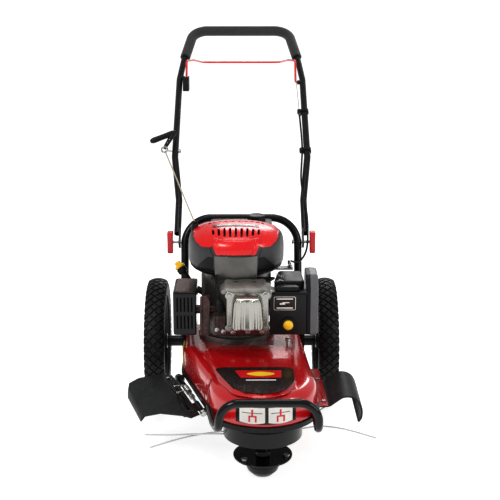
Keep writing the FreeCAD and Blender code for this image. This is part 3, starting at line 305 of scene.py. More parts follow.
SOFTENED = {"deck_pan": 1.0, "guard_bracket": 0.8, "air_filter_base": 2.0, "fuel_tank": 3.0,
            "engine_block": 1.2,
            "cylinder_head": 0.8, "carburettor": 1.5, "muffler": 1.5, "line_head": 0.8,
            "ground_cup": 1.0, "rim_left": 1.5, "rim_right": 1.5, "flap_strip": 0.6, "flap_rubber": 1.2,
            "control_box": 2.0, "cable_clips": 0.8, "brake_lever": 0.6, "frame_bolts": 0.5,
            "head_bolts": 0.5, "flap_bolts": 0.4, "axle": 0.6, "lower_frame": 0.5, "bumper": 0.3}


def soften(obj, width, angle=38.0, segments=2):
    """Round a CAD part's sharp edges a little, and shade it smooth."""
    weld = obj.modifiers.new("weld", "WELD")
    weld.merge_threshold = 0.00002
    if width:
        bevel = obj.modifiers.new("bevel", "BEVEL")
        bevel.width = width / 1000
        bevel.segments = segments
        bevel.limit_method = "ANGLE"
        bevel.angle_limit = math.radians(angle)
    normals = obj.modifiers.new("normals", "WEIGHTED_NORMAL")
    normals.keep_sharp = False
    obj.data.polygons.foreach_set("use_smooth", [True] * len(obj.data.polygons))


for name, key in CAD_MATERIAL.items():
    node = NODES[name]
    node.data.materials.clear()
    node.data.materials.append(M[key])
    soften(node, SOFTENED.get(name, 0.3))


# ---------------------------------------------------------------- mesh helpers
SIDES = (("left", -1), ("right", 1))
# The body that a piece rides on, its slot and its look.
PLASTIC = ("chassis", "black_plastic", "plastic_black")
STEEL = ("chassis", "steel", "zinc")
CAST = ("chassis", "cast_aluminium", "cast")
BROWN_CAST = ("chassis", "cast_aluminium", "heat_brown")
BROWN_STEEL = ("chassis", "brown_steel", "heat_brown")
RED_COVER = ("chassis", "red_plastic", "cover_red")
GREY = ("chassis", "grey_paint", "housing_grey")
LABEL = ("chassis", "porcelain", "sticker_white")
CHROME = ("chassis", "chrome", "chrome")
# A sticker's look and its slot.
BLACK_STICKER = ("sticker_black", "black_plastic")
RED_STICKER = ("sticker_red", "red_plastic")
WHITE_STICKER = ("sticker_white", "porcelain")
YELLOW_STICKER = ("sticker_yellow", "yellow_plastic")


def piece(name, points, faces, body, slot, material, smooth=True, stands_for=()):
    """A mesh that rides on a CAD body; its points are in the row frame."""
    data = bpy.data.meshes.new(name)
    data.from_pydata([tuple(p) for p in points], [], faces)
    data.validate()
    obj = bpy.data.objects.new(name, data)
    SCENE.collection.objects.link(obj)
    data.materials.append(M[material])
    data.polygons.foreach_set("use_smooth", [smooth] * len(data.polygons))
    data.update()
    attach(obj, body)
    if stands_for:
        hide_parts(*stands_for)
    return obj


def modifier(obj, kind, **values):
    made = obj.modifiers.new(kind.lower(), kind)
    for key, value in values.items():
        setattr(made, key, value)
    return made


def crisp(obj, width, segments=3, angle=30.0, subdivide=0):
    """Rounded edges with flat faces between them."""
    modifier(obj, "BEVEL", width=width / 1000, segments=segments, limit_method="ANGLE",
             angle_limit=math.radians(angle))
    if subdivide:
        modifier(obj, "SUBSURF", levels=subdivide, render_levels=subdivide)
    modifier(obj, "WEIGHTED_NORMAL", keep_sharp=False)
    return obj


def bridge(loops, closed=True, cap_first=True, cap_last=True, wrap=False):
    """Points and faces that join loops of equal length; wrap joins the last loop to the first."""
    count = len(loops[0])
    points = [p for loop in loops for p in loop]
    faces = []
    rows = len(loops) if wrap else len(loops) - 1
    for row in range(rows):
        a, b = row * count, (row + 1) % len(loops) * count
        for i in range(count if closed else count - 1):
            j = (i + 1) % count
            faces.append((a + i, a + j, b + j, b + i))
    if cap_first and not wrap:
        faces.append(tuple(reversed(range(count))))
    if cap_last and not wrap:
        last = (len(loops) - 1) * count
        faces.append(tuple(range(last, last + count)))
    return points, faces


def merged(*shapes):
    """Several (points, faces) as one."""
    points, faces = [], []
    for more, sides in shapes:
        start = len(points)
        points.extend(more)
        faces.extend(tuple(start + i for i in side) for side in sides)
    return points, faces


BOX_SIDES = [(3, 2, 1, 0), (4, 5, 6, 7), (0, 1, 5, 4), (1, 2, 6, 5), (2, 3, 7, 6), (3, 0, 4, 7)]


def rectangle(x0, y0, x1, y1):
    """The four corners of a flat rectangle."""
    return [(x0, y0), (x1, y0), (x1, y1), (x0, y1)]


def block(low, high):
    """The six sides of a box, from millimetre corners."""
    (x0, y0, z0), (x1, y1, z1) = low, high
    return [at(x, y, z) for z in (z0, z1) for x, y in rectangle(x0, y0, x1, y1)], BOX_SIDES


def spun(profile, centre, axis=(0, 0, 1), steps=64, hollow=False):
    """A body of revolution from (radius, height) in millimetres; a hollow one's profile is a closed ring."""
    axis, start = Vector(axis).normalized(), Vector((1, 0, 0))
    side = (start - axis * start.dot(axis)).normalized()
    across = axis.cross(side)
    loops = []
    for radius, height in profile:
        radius = max(radius, 0.05)
        loops.append([centre + axis * height / 1000
                      + (side * math.cos(a) + across * math.sin(a)) * radius / 1000
                      for a in (math.tau * k / steps for k in range(steps))])
    return bridge(loops, wrap=hollow)


def rounded(corners, radii, steps=6):
    """A closed flat outline with arcs at its corners."""
    out = []
    count = len(corners)
    for i in range(count):
        p, q, r = (Vector(corners[(i + k) % count]) for k in (-1, 0, 1))
        radius = radii if isinstance(radii, (int, float)) else radii[i]
        u, v = (p - q).normalized(), (r - q).normalized()
        half = math.acos(max(-1.0, min(1.0, u.dot(v)))) / 2
        reach = min(radius / max(math.tan(half), 1e-3), (p - q).length * 0.48, (r - q).length * 0.48)
        a, b = q + u * reach, q + v * reach
        for k in range(steps + 1):
            t = k / steps
            out.append(a * (1 - t) ** 2 + q * 2 * t * (1 - t) + b * t * t)
    return out


def slab(outline, low, high, place):
    """A plate between two heights over a flat outline; place(u, v, w) gives the row-frame point."""
    loops = [[place(p[0], p[1], w) for p in outline] for w in (low, high)]
    return bridge(loops)


def pipe(points, radius, steps=16, taper=None):
    """A round bar along points that are already smooth; radius in millimetres."""
    loops = []
    count = len(points)
    side = None
    for i, p in enumerate(points):
        way = (points[min(i + 1, count - 1)] - points[max(i - 1, 0)]).normalized()
        if side is None:
            side = way.orthogonal().normalized()
        side = (side - way * side.dot(way)).normalized()
        across = way.cross(side)
        size = radius * (taper[i] if taper else 1.0) / 1000
        loops.append([p + (side * math.cos(a) + across * math.sin(a)) * size
                      for a in (math.tau * k / steps for k in range(steps))])
    return bridge(loops)


def curve_points(controls, per=8):
    """A smooth line through control points (Catmull-Rom)."""
    ends = [controls[0] * 2 - controls[1]] + list(controls) + [controls[-1] * 2 - controls[-2]]
    out = []
    for i in range(1, len(ends) - 2):
        a, b, c, d = ends[i - 1:i + 3]
        for k in range(per):
            t = k / per
            out.append(0.5 * ((2 * b) + (c - a) * t + (2 * a - 5 * b + 4 * c - d) * t * t
                              + (3 * b - a - 3 * c + d) * t ** 3))
    out.append(controls[-1].copy())
    return out


# ---------------------------------------------------------------- camera and stage
CAMERA_DISTANCE, CAMERA_HEIGHT = 2900, 1230
CAMERA_PITCH, CAMERA_YAW = 15.2, -0.47
LENS, SENSOR_WIDTH = 78.3, 36.0
FLOOR_REACH, FLOOR_DROP, VIEW_REACH = 400.0, 0.0005, 600.0


def set_stage():
    """Pale floor, soft lights and the camera."""
    data = bpy.data.cameras.new("camera")
    data.lens, data.sensor_width = LENS, SENSOR_WIDTH
    data.clip_end = VIEW_REACH
    camera = bpy.data.objects.new("camera", data)
    camera.location = at(0, -CAMERA_DISTANCE, CAMERA_HEIGHT)
    camera.rotation_euler = (math.radians(90 - CAMERA_PITCH), 0.0, math.radians(CAMERA_YAW))
    SCENE.collection.objects.link(camera)
    SCENE.camera = camera

    floor_data = bpy.data.meshes.new("floor")
    square = rectangle(-FLOOR_REACH, -FLOOR_REACH, FLOOR_REACH, FLOOR_REACH)
    floor_data.from_pydata([(x, y, 0) for x, y in square], [], [(0, 1, 2, 3)])
    floor = bpy.data.objects.new("floor", floor_data)
    floor.location.z = -FLOOR_DROP
    SCENE.collection.objects.link(floor)
    paper = Nodes("paper")
    paper.set(Base_Color=(0.55, 0.55, 0.55, 1.0), Roughness=0.9)
    paper.set(Emission_Color=(1.0, 1.0, 1.0, 1.0), Emission_Strength=0.8)
    floor_data.materials.append(paper.material)

    world = bpy.data.worlds.new("studio")
    world.use_nodes = True
    world.node_tree.nodes["Background"].inputs["Color"].default_value = (1.0, 1.0, 1.0, 1.0)
    world.node_tree.nodes["Background"].inputs["Strength"].default_value = 0.55
    SCENE.world = world

    def lamp(name, where, aim, width, height, power):
        light = bpy.data.lights.new(name, "AREA")
        light.shape, light.size, light.size_y, light.energy = "RECTANGLE", width, height, power
        obj = bpy.data.objects.new(name, light)
        obj.location = where
        obj.rotation_euler = (Vector(aim) - Vector(where)).to_track_quat("-Z", "Y").to_euler()
        SCENE.collection.objects.link(obj)
    lamp("key", (-1.5, -2.3, 2.5), (0, -0.3, 0.4), 0.9, 0.9, 40)
    lamp("side", (2.3, -1.5, 1.5), (0, -0.2, 0.4), 0.5, 1.6, 22)
    lamp("top", (0.0, -0.3, 2.9), (0, -0.2, 0.4), 1.4, 1.0, 16)
    lamp("back", (0.4, 2.4, 1.9), (0, 0, 0.5), 1.4, 1.0, 24)
    SCENE.view_settings.view_transform = "Standard"
    SCENE.view_settings.gamma = 0.8


set_stage()


# ---------------------------------------------------------------- trimmer lines and brake cable
def route_curve(name, route, radius, body, material):
    """An open spline of order 3 along a cord's route."""
    data = bpy.data.curves.new(name, "CURVE")
    data.dimensions = "3D"
    data.bevel_depth = radius / 1000
    data.bevel_resolution = 6
    data.resolution_u = 12
    data.use_fill_caps = True
    spline = data.splines.new("NURBS")
    spline.points.add(len(route) - 1)
    for target, (x, y, z) in zip(spline.points, route):
        target.co = (*at(x, y, z), 1.0)
    spline.order_u = 3
    spline.use_endpoint_u = True
    data.materials.append(M[material])
    obj = bpy.data.objects.new(name, data)
    SCENE.collection.objects.link(obj)
    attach(obj, body)
    return obj


LINE_ROUTES = {
    "line_left_rear": [(-26, -474, 109), (-74, -470, 108), (-126, -464, 104), (-180, -460, 100),
                       (-236, -452, 98)],
    "line_left_front": [(-22, -452, 108), (-68, -450, 103), (-114, -458, 99), (-166, -484, 98),
                        (-218, -525, 98)],
    "line_right_front": [(131, -452, 109), (178, -425, 107), (226, -421, 103), (278, -442, 100),
                         (325, -478, 99)],
    "line_right_rear": [(118, -420, 109), (142, -406, 109), (176, -388, 119), (212, -366, 134),
                        (242, -322, 140), (268, -264, 141)],
}
for name, route in LINE_ROUTES.items():
    cord = route_curve(name, route, 2.0, "trimmer_head", "line_nylon")
    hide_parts("trimmer_lines_left" if "left" in name else "trimmer_lines_right")

CABLE_ROUTE = [(183.5, 520.5, 746.5), (185, 470, 716), (186.5, 420, 684), (186.2, 372, 655),
               (181, 318, 618), (177, 272, 592), (178, 228, 567), (185, 186, 536), (189.5, 148, 506),
               (190, 116, 480), (188, 86, 465), (187, 62, 443), (181, 48, 420), (168, 34, 403),
               (150, 16, 401), (139, -4, 411)]


def blended(name, shape, material):
    """A thin piece strung between two bodies that one joint connects."""
    points, faces = shape
    data = bpy.data.meshes.new(name)
    data.from_pydata([tuple(p) for p in points], [], faces)
    data.materials.append(M[material])
    data.polygons.foreach_set("use_smooth", [True] * len(data.polygons))
    obj = bpy.data.objects.new(name, data)
    SCENE.collection.objects.link(obj)
    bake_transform(obj)
    return obj


def evaluated_mesh(obj):
    """An object's mesh with its curve or modifiers worked out."""
    bpy.context.view_layer.update()
    return bpy.data.meshes.new_from_object(obj.evaluated_get(bpy.context.evaluated_depsgraph_get()))


def cable_mesh():
    """The brake cable's sheath with its ferrule and bare wire."""
    rough = route_curve("cable_line", CABLE_ROUTE, 2.8, "chassis", "cable_black")
    data = evaluated_mesh(rough)
    bpy.data.objects.remove(rough)
    data.materials.clear()
    data.materials.append(M["cable_black"])
    obj = bpy.data.objects.new("cable_sheath", data)
    SCENE.collection.objects.link(obj)
    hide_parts("brake_cable")
    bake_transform(obj)
    top, hook = at(183.5, 533.5, 754.6), at(177, 666.6, 855.4)
    way = (hook - top).normalized()
    hook -= way * 0.01
    ferrule = spun([(4.2, -24), (4.2, -8), (3.4, -4), (1.6, -3)], top, way, 20)
    piece("cable_ferrule", *ferrule, "handle", "steel", "zinc")
    hook += way * 0.006
    blended("cable_wire", pipe([top.lerp(hook, k / 24) for k in range(25)], 0.9, 10),
            "zinc")


cable_mesh()


# ---------------------------------------------------------------- surfaces of revolution
CRANK = (-14.0, -110.0)


def round_point(centre, azimuth, radius, z):
    """A point at an azimuth from the front (degrees, + to the viewer's right) round an upright axis."""
    a = math.radians(azimuth)
    return at(centre[0] + radius * math.sin(a), centre[1] - radius * math.cos(a), z)


def along_profile(profile, z):
    """The radius of a (height, radius) profile at a height."""
    for (z0, r0), (z1, r1) in zip(profile, profile[1:]):
        if z0 <= z <= z1:
            return r0 + (r1 - r0) * (z - z0) / (z1 - z0)
    return profile[0][1] if z < profile[0][0] else profile[-1][1]


def shell_patch(name, profile, sides, z_range, lift, thick, body, slot, material, across=28, up=12,
                stands_for=(), bevel=1.2, centre=CRANK):
    """A closed patch on a surface of revolution. sides(v) gives its two azimuths at a height share."""
    low_z, high_z = (edge if callable(edge) else (lambda u, z=edge: z) for edge in z_range)
    outer, inner = [], []
    for row in range(up + 1):
        v = row / up
        left, right = sides(v)
        outer_row, inner_row = [], []
        for col in range(across + 1):
            u = col / across
            azimuth = left + (right - left) * u
            z = low_z(u) + (high_z(u) - low_z(u)) * v
            radius = along_profile(profile, z)
            outer_row.append(round_point(centre, azimuth, radius + lift, z))
            inner_row.append(round_point(centre, azimuth, radius + lift - thick, z))
        outer.append(outer_row)
        inner.append(inner_row)
    points = [p for row in outer for p in row] + [p for row in inner for p in row]
    wide, half = across + 1, (up + 1) * (across + 1)
    faces = []
    for row in range(up):
        for col in range(across):
            a = row * wide + col
            faces.append((a, a + 1, a + 1 + wide, a + wide))
            faces.append((half + a, half + a + wide, half + a + 1 + wide, half + a + 1))
    rim = ([col for col in range(wide)] + [row * wide + across for row in range(1, up + 1)]
           + [up * wide + col for col in range(across - 1, -1, -1)]
           + [row * wide for row in range(up - 1, 0, -1)])
    for a, b in zip(rim, rim[1:] + rim[:1]):
        faces.append((b, a, half + a, half + b))
    obj = piece(name, points, faces, body, slot, material, stands_for=stands_for)
    return crisp(obj, bevel, 3, 40) if bevel else obj


def wedge(sign, inner, outer):
    """The sides of a patch to one side of the front; each edge is (azimuth at the foot, what it gains)."""
    return lambda v: tuple(sorted(sign * (start + gain * v) for start, gain in (inner, outer)))


HOUSING = [(428, 108), (434, 115), (441, 121), (449, 125), (458, 126.2), (480, 126.4), (494, 126.2),
           (506, 125), (515, 122.6), (522, 118.6), (526, 113), (528, 106)]


def housing():
    """The blower housing: a grey shell with dark side panels and a satin plate at its front."""
    outer = [(r, z) for z, r in HOUSING]
    profile = ([(84, 429), (106, 429)] + outer + [(72, 529), (72, 526), (103, 525.5)]
               + [(r - 3, z) for z, r in reversed(HOUSING[1:-1])] + [(84, 431)])
    shell = spun(profile, at(*CRANK, 0), steps=96, hollow=True)
    crisp(piece("blower_shell", *shell, *GREY, stands_for=("blower_housing",)), 1.0, 2, 25)
    for side, sign in SIDES:
        shell_patch(f"housing_panel_{side}", HOUSING, wedge(sign, (27.5, 0), (57, -22)), (443, 482), 1.4, 4.0,
                    *PLASTIC, bevel=1.0)
        shell_patch(f"housing_ridge_{side}", HOUSING, wedge(sign, (27, 9), (29.5, 9)), (484, 521), 1.6, 4.0,
                    *GREY, across=4, bevel=0.8)
    shell_patch("housing_belt", HOUSING, lambda v: (-100, 100), (433, 440), 2.2, 5.0, *PLASTIC, across=80,
                up=4, bevel=1.2)
    flat = [(425, 129.2), (432, 130), (490, 128.8), (492, 128.2)]
    shell_patch("front_plate", flat, lambda v: (-24.5 - 1.2 * v, 24.5 + 1.2 * v),
                (lambda u: 426 - 2 * math.sin(math.pi * u), 488), 0.0, 3.6, "chassis",
                "grey_plastic", "plate", across=40, stands_for=("front_trim",), bevel=1.2)


DOME = [(0.0, 549.5), (40, 549.0), (66, 546.6), (82, 543.4), (94, 539.0), (104, 533.8), (111, 529.4)]


def top_cover():
    """The red cover: a domed top whose skirt hangs lower at the front, with slots and vents cut through it."""
    steps = 144

    def skirt(azimuth):
        """How low the skirt reaches at an azimuth."""
        a = abs(azimuth)
        points = [(0, 515), (26, 515), (32, 508), (43, 506), (54, 513), (64, 521), (74, 526.5), (180, 526.5)]
        for (a0, z0), (a1, z1) in zip(points, points[1:]):
            if a0 <= a <= a1:
                t = (a - a0) / (a1 - a0)
                return z0 + (z1 - z0) * t * t * (3 - 2 * t)
        return 526.5
    loops = []
    for radius, z in DOME:
        loops.append([(max(radius, 0.4), z)] * steps)
    for share in (0.35, 0.7, 1.0):
        row = []
        for k in range(steps):
            azimuth = (k * 360 / steps + 180) % 360 - 180
            low = skirt(azimuth)
            z = 527 - (527 - low) * share
            row.append((along_profile(HOUSING, z) + 1.6 + 0.8 * share, z))
        loops.append(row)

    def fallen(k, radius, z):
        """A point of the dome, let down towards the back."""
        back = -radius * math.cos(math.tau * k / steps)
        drop = 0.1 * max(0.0, back) * min(1.0, max(0.0, (z - 529) / 12))
        return round_point(CRANK, k * 360 / steps, radius, z - drop)
    outer = [[fallen(k, *row[k]) for k in range(steps)] for row in loops]
    inner = [[fallen(k, max(row[k][0] - 2.4, 0.3), row[k][1] - (2.6 if i < 6 else 0.2)) for k in range(steps)]
             for i, row in enumerate(loops)]
    ring = outer + inner[::-1]
    cover = piece("cover_dome", *bridge(ring), *RED_COVER, stands_for=("top_cover",))
    cutters = []
    for step in range(9):
        shift = 15.0 * (step - 4)
        x, lean = CRANK[0] + shift, 0.04 * shift
        low = CRANK[1] - 104 + 0.006 * shift ** 2
        outline = [(x - 2.8 - lean, low), (x + 2.8 - lean, low), (x + 2.8, -168), (x - 2.8, -168)]
        cutters.append(slab(rounded(outline, 2.2), 526, 560, at))
    for step in range(10):
        a = math.radians(-54 + 12 * step)
        cx, cy = CRANK[0] + 86 * math.sin(a), CRANK[1] + 30 * math.cos(a) - 20
        outline = rectangle(cx - 3.2, cy - 7, cx + 3.2, cy + 7)
        cutters.append(slab(rounded(outline, 2.0), 530, 560, at))
    carve(cover, merged(*cutters))
    crisp(cover, 0.7, 2, 35)
    disc = spun([(0, 533.5), (96, 531), (96, 529.5), (0, 529.5)], at(*CRANK, 0))
    piece("cover_screen", *disc, *PLASTIC)
    chin = [(490, 129.5), (497, 129.6), (508, 128.4), (517, 125.2), (525, 119.6), (532, 111)]
    shell_patch("cover_chin", chin, lambda v: (-18.5 - 7.5 * v, 18.5 + 7.5 * v), (492, 529), 0.8, 6.0,
                *RED_COVER, bevel=2.0)
    for side, sign in SIDES:
        shell_patch(f"cover_rib_{side}", chin, wedge(sign, (17.5, 7), (22.5, 9)), (491, 530), 2.6, 7.0,
                    *RED_COVER, across=6, bevel=1.6)
    badge_strip("cover_badge", 60, (-46, -26), 0.9, "satin_black", "black_plastic")
    badge_strip("cover_badge_bar", 50, (-38, -33), 1.4, *WHITE_STICKER)


def badge_strip(name, half, span, lift, material, slot):
    """A thin strip that lies on the dome, in front of the crank's axis."""
    profile = sorted((radius, z) for radius, z in DOME)
    loops = []
    for y in (span[0] + (span[1] - span[0]) * k / 4 for k in range(5)):
        upper, lower = [], []
        for k in range(25):
            x = -half + 2 * half * k / 24
            z = along_profile(profile, math.hypot(x, y))
            upper.append(at(CRANK[0] + x, CRANK[1] + y, z + lift))
            lower.append(at(CRANK[0] + x, CRANK[1] + y, z - 0.4))
        loops.append(upper + lower[::-1])
    points, faces = bridge(loops)
    piece(name, points, faces, "chassis", slot, material, smooth=False)


def carve(obj, shape):
    """Cut a shape out of a piece for good."""
    data = bpy.data.meshes.new("cutter")
    points, faces = shape
    data.from_pydata([tuple(p) for p in points], [], faces)
    cutter = bpy.data.objects.new("cutter", data)
    SCENE.collection.objects.link(cutter)
    tool = obj.modifiers.new("carve", "BOOLEAN")
    tool.object, tool.operation, tool.solver = cutter, "DIFFERENCE", "EXACT"
    tool.use_self = True
    made = evaluated_mesh(obj)
    obj.modifiers.remove(tool)
    obj.data = made
    made.polygons.foreach_set("use_smooth", [True] * len(made.polygons))
    bpy.data.objects.remove(cutter)


housing()
top_cover()


# ---------------------------------------------------------------- deck
NOSE = [Vector((51 - 134.8 * math.cos(math.pi * k / 48), -440 - 134.8 * math.sin(math.pi * k / 48)))
        for k in range(49)]
DECK_OUTLINE = (rounded([(165, -20), (-155, -20), (-155, -200), (-92, -413)], [8, 8, 70, 0.5], 12) + NOSE
                + [Vector((175.5, -295)), Vector((167.5, -185)), Vector((165.3, -150))])
PANEL = rounded([(-104, -262), (-62, -232), (110, -232), (134, -268), (128, -400), (131, -484),
                 (108, -548), (46, -580), (-20, -550), (-56, -456)],
                [30, 26, 30, 26, 80, 40, 44, 50, 40, 90], 6)
DECK_CENTRE = Vector((30.0, -350.0))


def ray(outline, angle):
    """Where a ray from the deck's centre leaves an outline."""
    way = Vector((math.cos(angle), math.sin(angle)))
    best = 0.0
    for a, b in zip(outline, outline[1:] + outline[:1]):
        edge, start = b - a, a - DECK_CENTRE
        cross = way.x * edge.y - way.y * edge.x
        if abs(cross) < 1e-9:
            continue
        t = (start.x * edge.y - start.y * edge.x) / cross
        u = (start.x * way.y - start.y * way.x) / cross
        if t > best and -1e-6 <= u <= 1 + 1e-6:
            best = t
    return best


WALL = [(171, 0.0), (174, 0.0), (190, 0.6), (206, 1.6), (218, 3.4), (226, 6.0), (232, 9.5), (236.5, 14),
        (239.5, 20), (241.5, 28), (242.6, 38)]
RISE = [(1.0, 243.6), (0.985, 244.2), (0.968, 246.4), (0.955, 249.0), (0.94, 250.9), (0.915, 251.8),
        (0.86, 252.0), (0.6, 252.0), (0.3, 252.0)]


def deck():
    """The pressed deck: draughted walls, a rolled shoulder and the raised panel in its top."""
    steps = 240
    angles = [math.tau * k / steps for k in range(steps)]
    outer = [ray(DECK_OUTLINE, a) for a in angles]
    panel = [ray(PANEL, a) for a in angles]
    loops = []
    for z, inset in WALL:
        loops.append([(outer[k] - inset, z) for k in range(steps)])
    inset = WALL[-1][1]
    loops.append([((outer[k] - inset) * 0.5 + panel[k] * 0.5, 243.2) for k in range(steps)])
    for scale, z in RISE:
        loops.append([(panel[k] * scale, z) for k in range(steps)])
    rows = [[at(DECK_CENTRE.x + r * math.cos(a), DECK_CENTRE.y + r * math.sin(a), z)
             for (r, z), a in zip(row, angles)] for row in loops]
    points, faces = bridge(rows, cap_first=False)
    shell = piece("deck_cover", points, faces, "chassis", "red_paint", "deck_red", stands_for=("deck_shell",))
    modifier(shell, "SOLIDIFY", thickness=0.0025, offset=-1.0)


def panel_decal(name, outline, z, material, slot, height=0.5, radius=3.0):
    """A thin flat decal on the raised panel."""
    shape = slab(rounded(outline, radius, 5), z, z + height, at)
    return piece(name, *shape, "chassis", slot, material, smooth=False)


def front_edge(x):
    """The Y of the nose's wall at an X."""
    best = 0.0
    for a, b in zip(DECK_OUTLINE, DECK_OUTLINE[1:] + DECK_OUTLINE[:1]):
        if min(a.x, b.x) <= x <= max(a.x, b.x) and abs(a.x - b.x) > 1e-6:
            best = min(best, a.y + (b.y - a.y) * (x - a.x) / (b.x - a.x))
    return best


def nose_decal(name, low_x, high_x, low_z, high_z, lift, material, slot, sag=0.0):
    """A decal wrapped on the nose's wall."""
    steps, rows = 30, 10
    loops_out, loops_in = [], []
    for row in range(rows + 1):
        z0 = low_z + (high_z - low_z) * row / rows
        outer, inner = [], []
        for col in range(steps + 1):
            x = low_x + (high_x - low_x) * col / steps
            z = z0 - sag * (1 - row / rows) * math.sin(math.pi * col / steps)
            inset = [i for h, i in WALL if h <= z][-1]
            nxt = [(h, i) for h, i in WALL if h > z][:1]
            if nxt:
                h0 = [h for h, i in WALL if h <= z][-1]
                inset += (nxt[0][1] - inset) * (z - h0) / (nxt[0][0] - h0)
            y = front_edge(x) + inset * 1.02
            tilt = Vector((x - 51, y + 440)).normalized()
            outer.append(at(x + tilt.x * lift, y + tilt.y * lift, z))
            inner.append(at(x - tilt.x * 0.6, y - tilt.y * 0.6, z))
        loops_out.append(outer)
        loops_in.append(inner)
    loops = [out + list(reversed(inn)) for out, inn in zip(loops_out, loops_in)]
    points, faces = bridge(loops)
    return piece(name, points, faces, "chassis", slot, material, smooth=False)


def decals():
    """Generic stickers: a dark field with a red and yellow badge, two picture panels and a side label."""
    panel_decal("field", [(-66, -410), (-50, -399), (114, -399), (126, -410), (126, -485), (110, -532),
                          (86, -556), (47, -567), (6, -556), (-22, -530), (-46, -466)], 252.0,
                *BLACK_STICKER, 0.4, 12)
    panel_decal("badge_red", [(-17, -421), (97, -421), (95, -468), (-2, -468)], 252.4, *RED_STICKER, 0.3, 1.5)
    oval = [(46 + 34 * math.cos(a), -444 + 14 * math.sin(a) * (1 - 0.25 * abs(math.cos(a))))
            for a in (math.tau * k / 28 for k in range(28))]
    panel_decal("badge_yellow", oval, 252.7, *YELLOW_STICKER, 0.3, 0.5)
    panel_decal("badge_bar", rectangle(10, -480, 82, -486), 252.4, *WHITE_STICKER, 0.25, 1.0)
    nose_decal("nose_field", -14, 126, 181, 222, 0.5, *BLACK_STICKER, sag=3)
    for side, (x0, x1) in (("left", (-5, 54)), ("right", (62, 118))):
        nose_decal(f"nose_panel_{side}", x0, x1, 182.5, 218.5, 0.8, *WHITE_STICKER, sag=3)
        middle = (x0 + x1) / 2
        nose_decal(f"nose_mark_{side}_post", middle - 2.2, middle + 2.2, 196, 214, 1.1, *RED_STICKER)
        for leg, shift in (("a", -9), ("b", 6)):
            nose_decal(f"nose_mark_{side}_{leg}", middle + shift, middle + shift + 4, 184, 197, 1.1,
                       *RED_STICKER)
        nose_decal(f"nose_mark_{side}_bar", middle - 9, middle + 10, 196, 199.5, 1.15, *RED_STICKER)
        nose_decal(f"nose_mark_{side}_line", x0 + 6, x1 - 6, 205, 206.4, 1.0, *BLACK_STICKER)
    for step, (z0, z1, key, slot) in enumerate(((177, 217, *YELLOW_STICKER),
                                                (181, 196, *WHITE_STICKER),
                                                (199, 213, *BLACK_STICKER))):
        inset = 0 if step == 0 else 6
        shape = block((-156.4 - 0.3 * step, -186 + inset, z0), (-154.5, -110 - inset, z1))
        piece(f"side_label_{step}", *shape, "chassis", slot, key, smooth=False)


deck()
decals()


# ---------------------------------------------------------------- engine
def valve_cover():
    """The chrome valve cover: a lobed flange and a dome with upright flutes."""
    cx, cz = 15.0, 364.0
    outline = []
    for sx, sz in ((-1, -1), (1, -1), (1, 1), (-1, 1)):
        bx, bz = cx + sx * 46, cz + sz * 42.5
        start = math.atan2(sz, sx)
        for k in range(-6, 7):
            a = start + k * math.radians(17)
            outline.append(Vector((bx + 10.5 * math.cos(a), bz + 10.5 * math.sin(a))))
        nx, nz = {(-1, -1): (0, -1), (1, -1): (1, 0), (1, 1): (0, 1), (-1, 1): (-1, 0)}[(sx, sz)]
        outline.append(Vector((cx + nx * 51, cz + nz * 47)))
    flange = slab(outline, -300.2, -306.5, upright)
    crisp(piece("cover_flange", *flange, *CHROME, stands_for=("valve_cover",)), 1.5)

    def depth(u, v):
        """How far the dome stands out at (u, v) from -1 to 1."""
        edge = min(1 - abs(u), (1 - abs(v)) * 1.2)
        rise = 33.0 * (1 - max(0.0, 1 - edge / 0.3) ** 2.4) ** 0.5 if edge < 0.3 else 33.0
        fade = min(1.0, max(0.0, (0.86 - abs(v)) / 0.1))
        for middle, half, push in ((0.0, 0.22, -3.0), (-0.42, 0.12, 2.2), (0.42, 0.12, 2.2),
                                   (-0.72, 0.07, -2.0),
                                   (0.72, 0.07, -2.0)):
            t = abs(u - middle) / half
            if t < 1:
                rise += push * fade * (1 - t ** 4) ** 0.8
        return max(rise, 0.0)
    wide, high = 60, 64
    loops = []
    for i in range(high + 1):
        v = -1 + 2 * i / high
        loops.append([at(cx + 41 * u * (1 - 0.08 * v) * (1 - 0.3 * v ** 6), -305 - depth(u, v), cz + 47 * v)
                      for u in (-1 + 2 * k / wide for k in range(wide + 1))])
    points, faces = bridge(loops, closed=False, cap_first=False, cap_last=False)
    dome = piece("cover_body", points, faces, *CHROME)
    modifier(dome, "SOLIDIFY", thickness=0.0015, offset=-1.0)


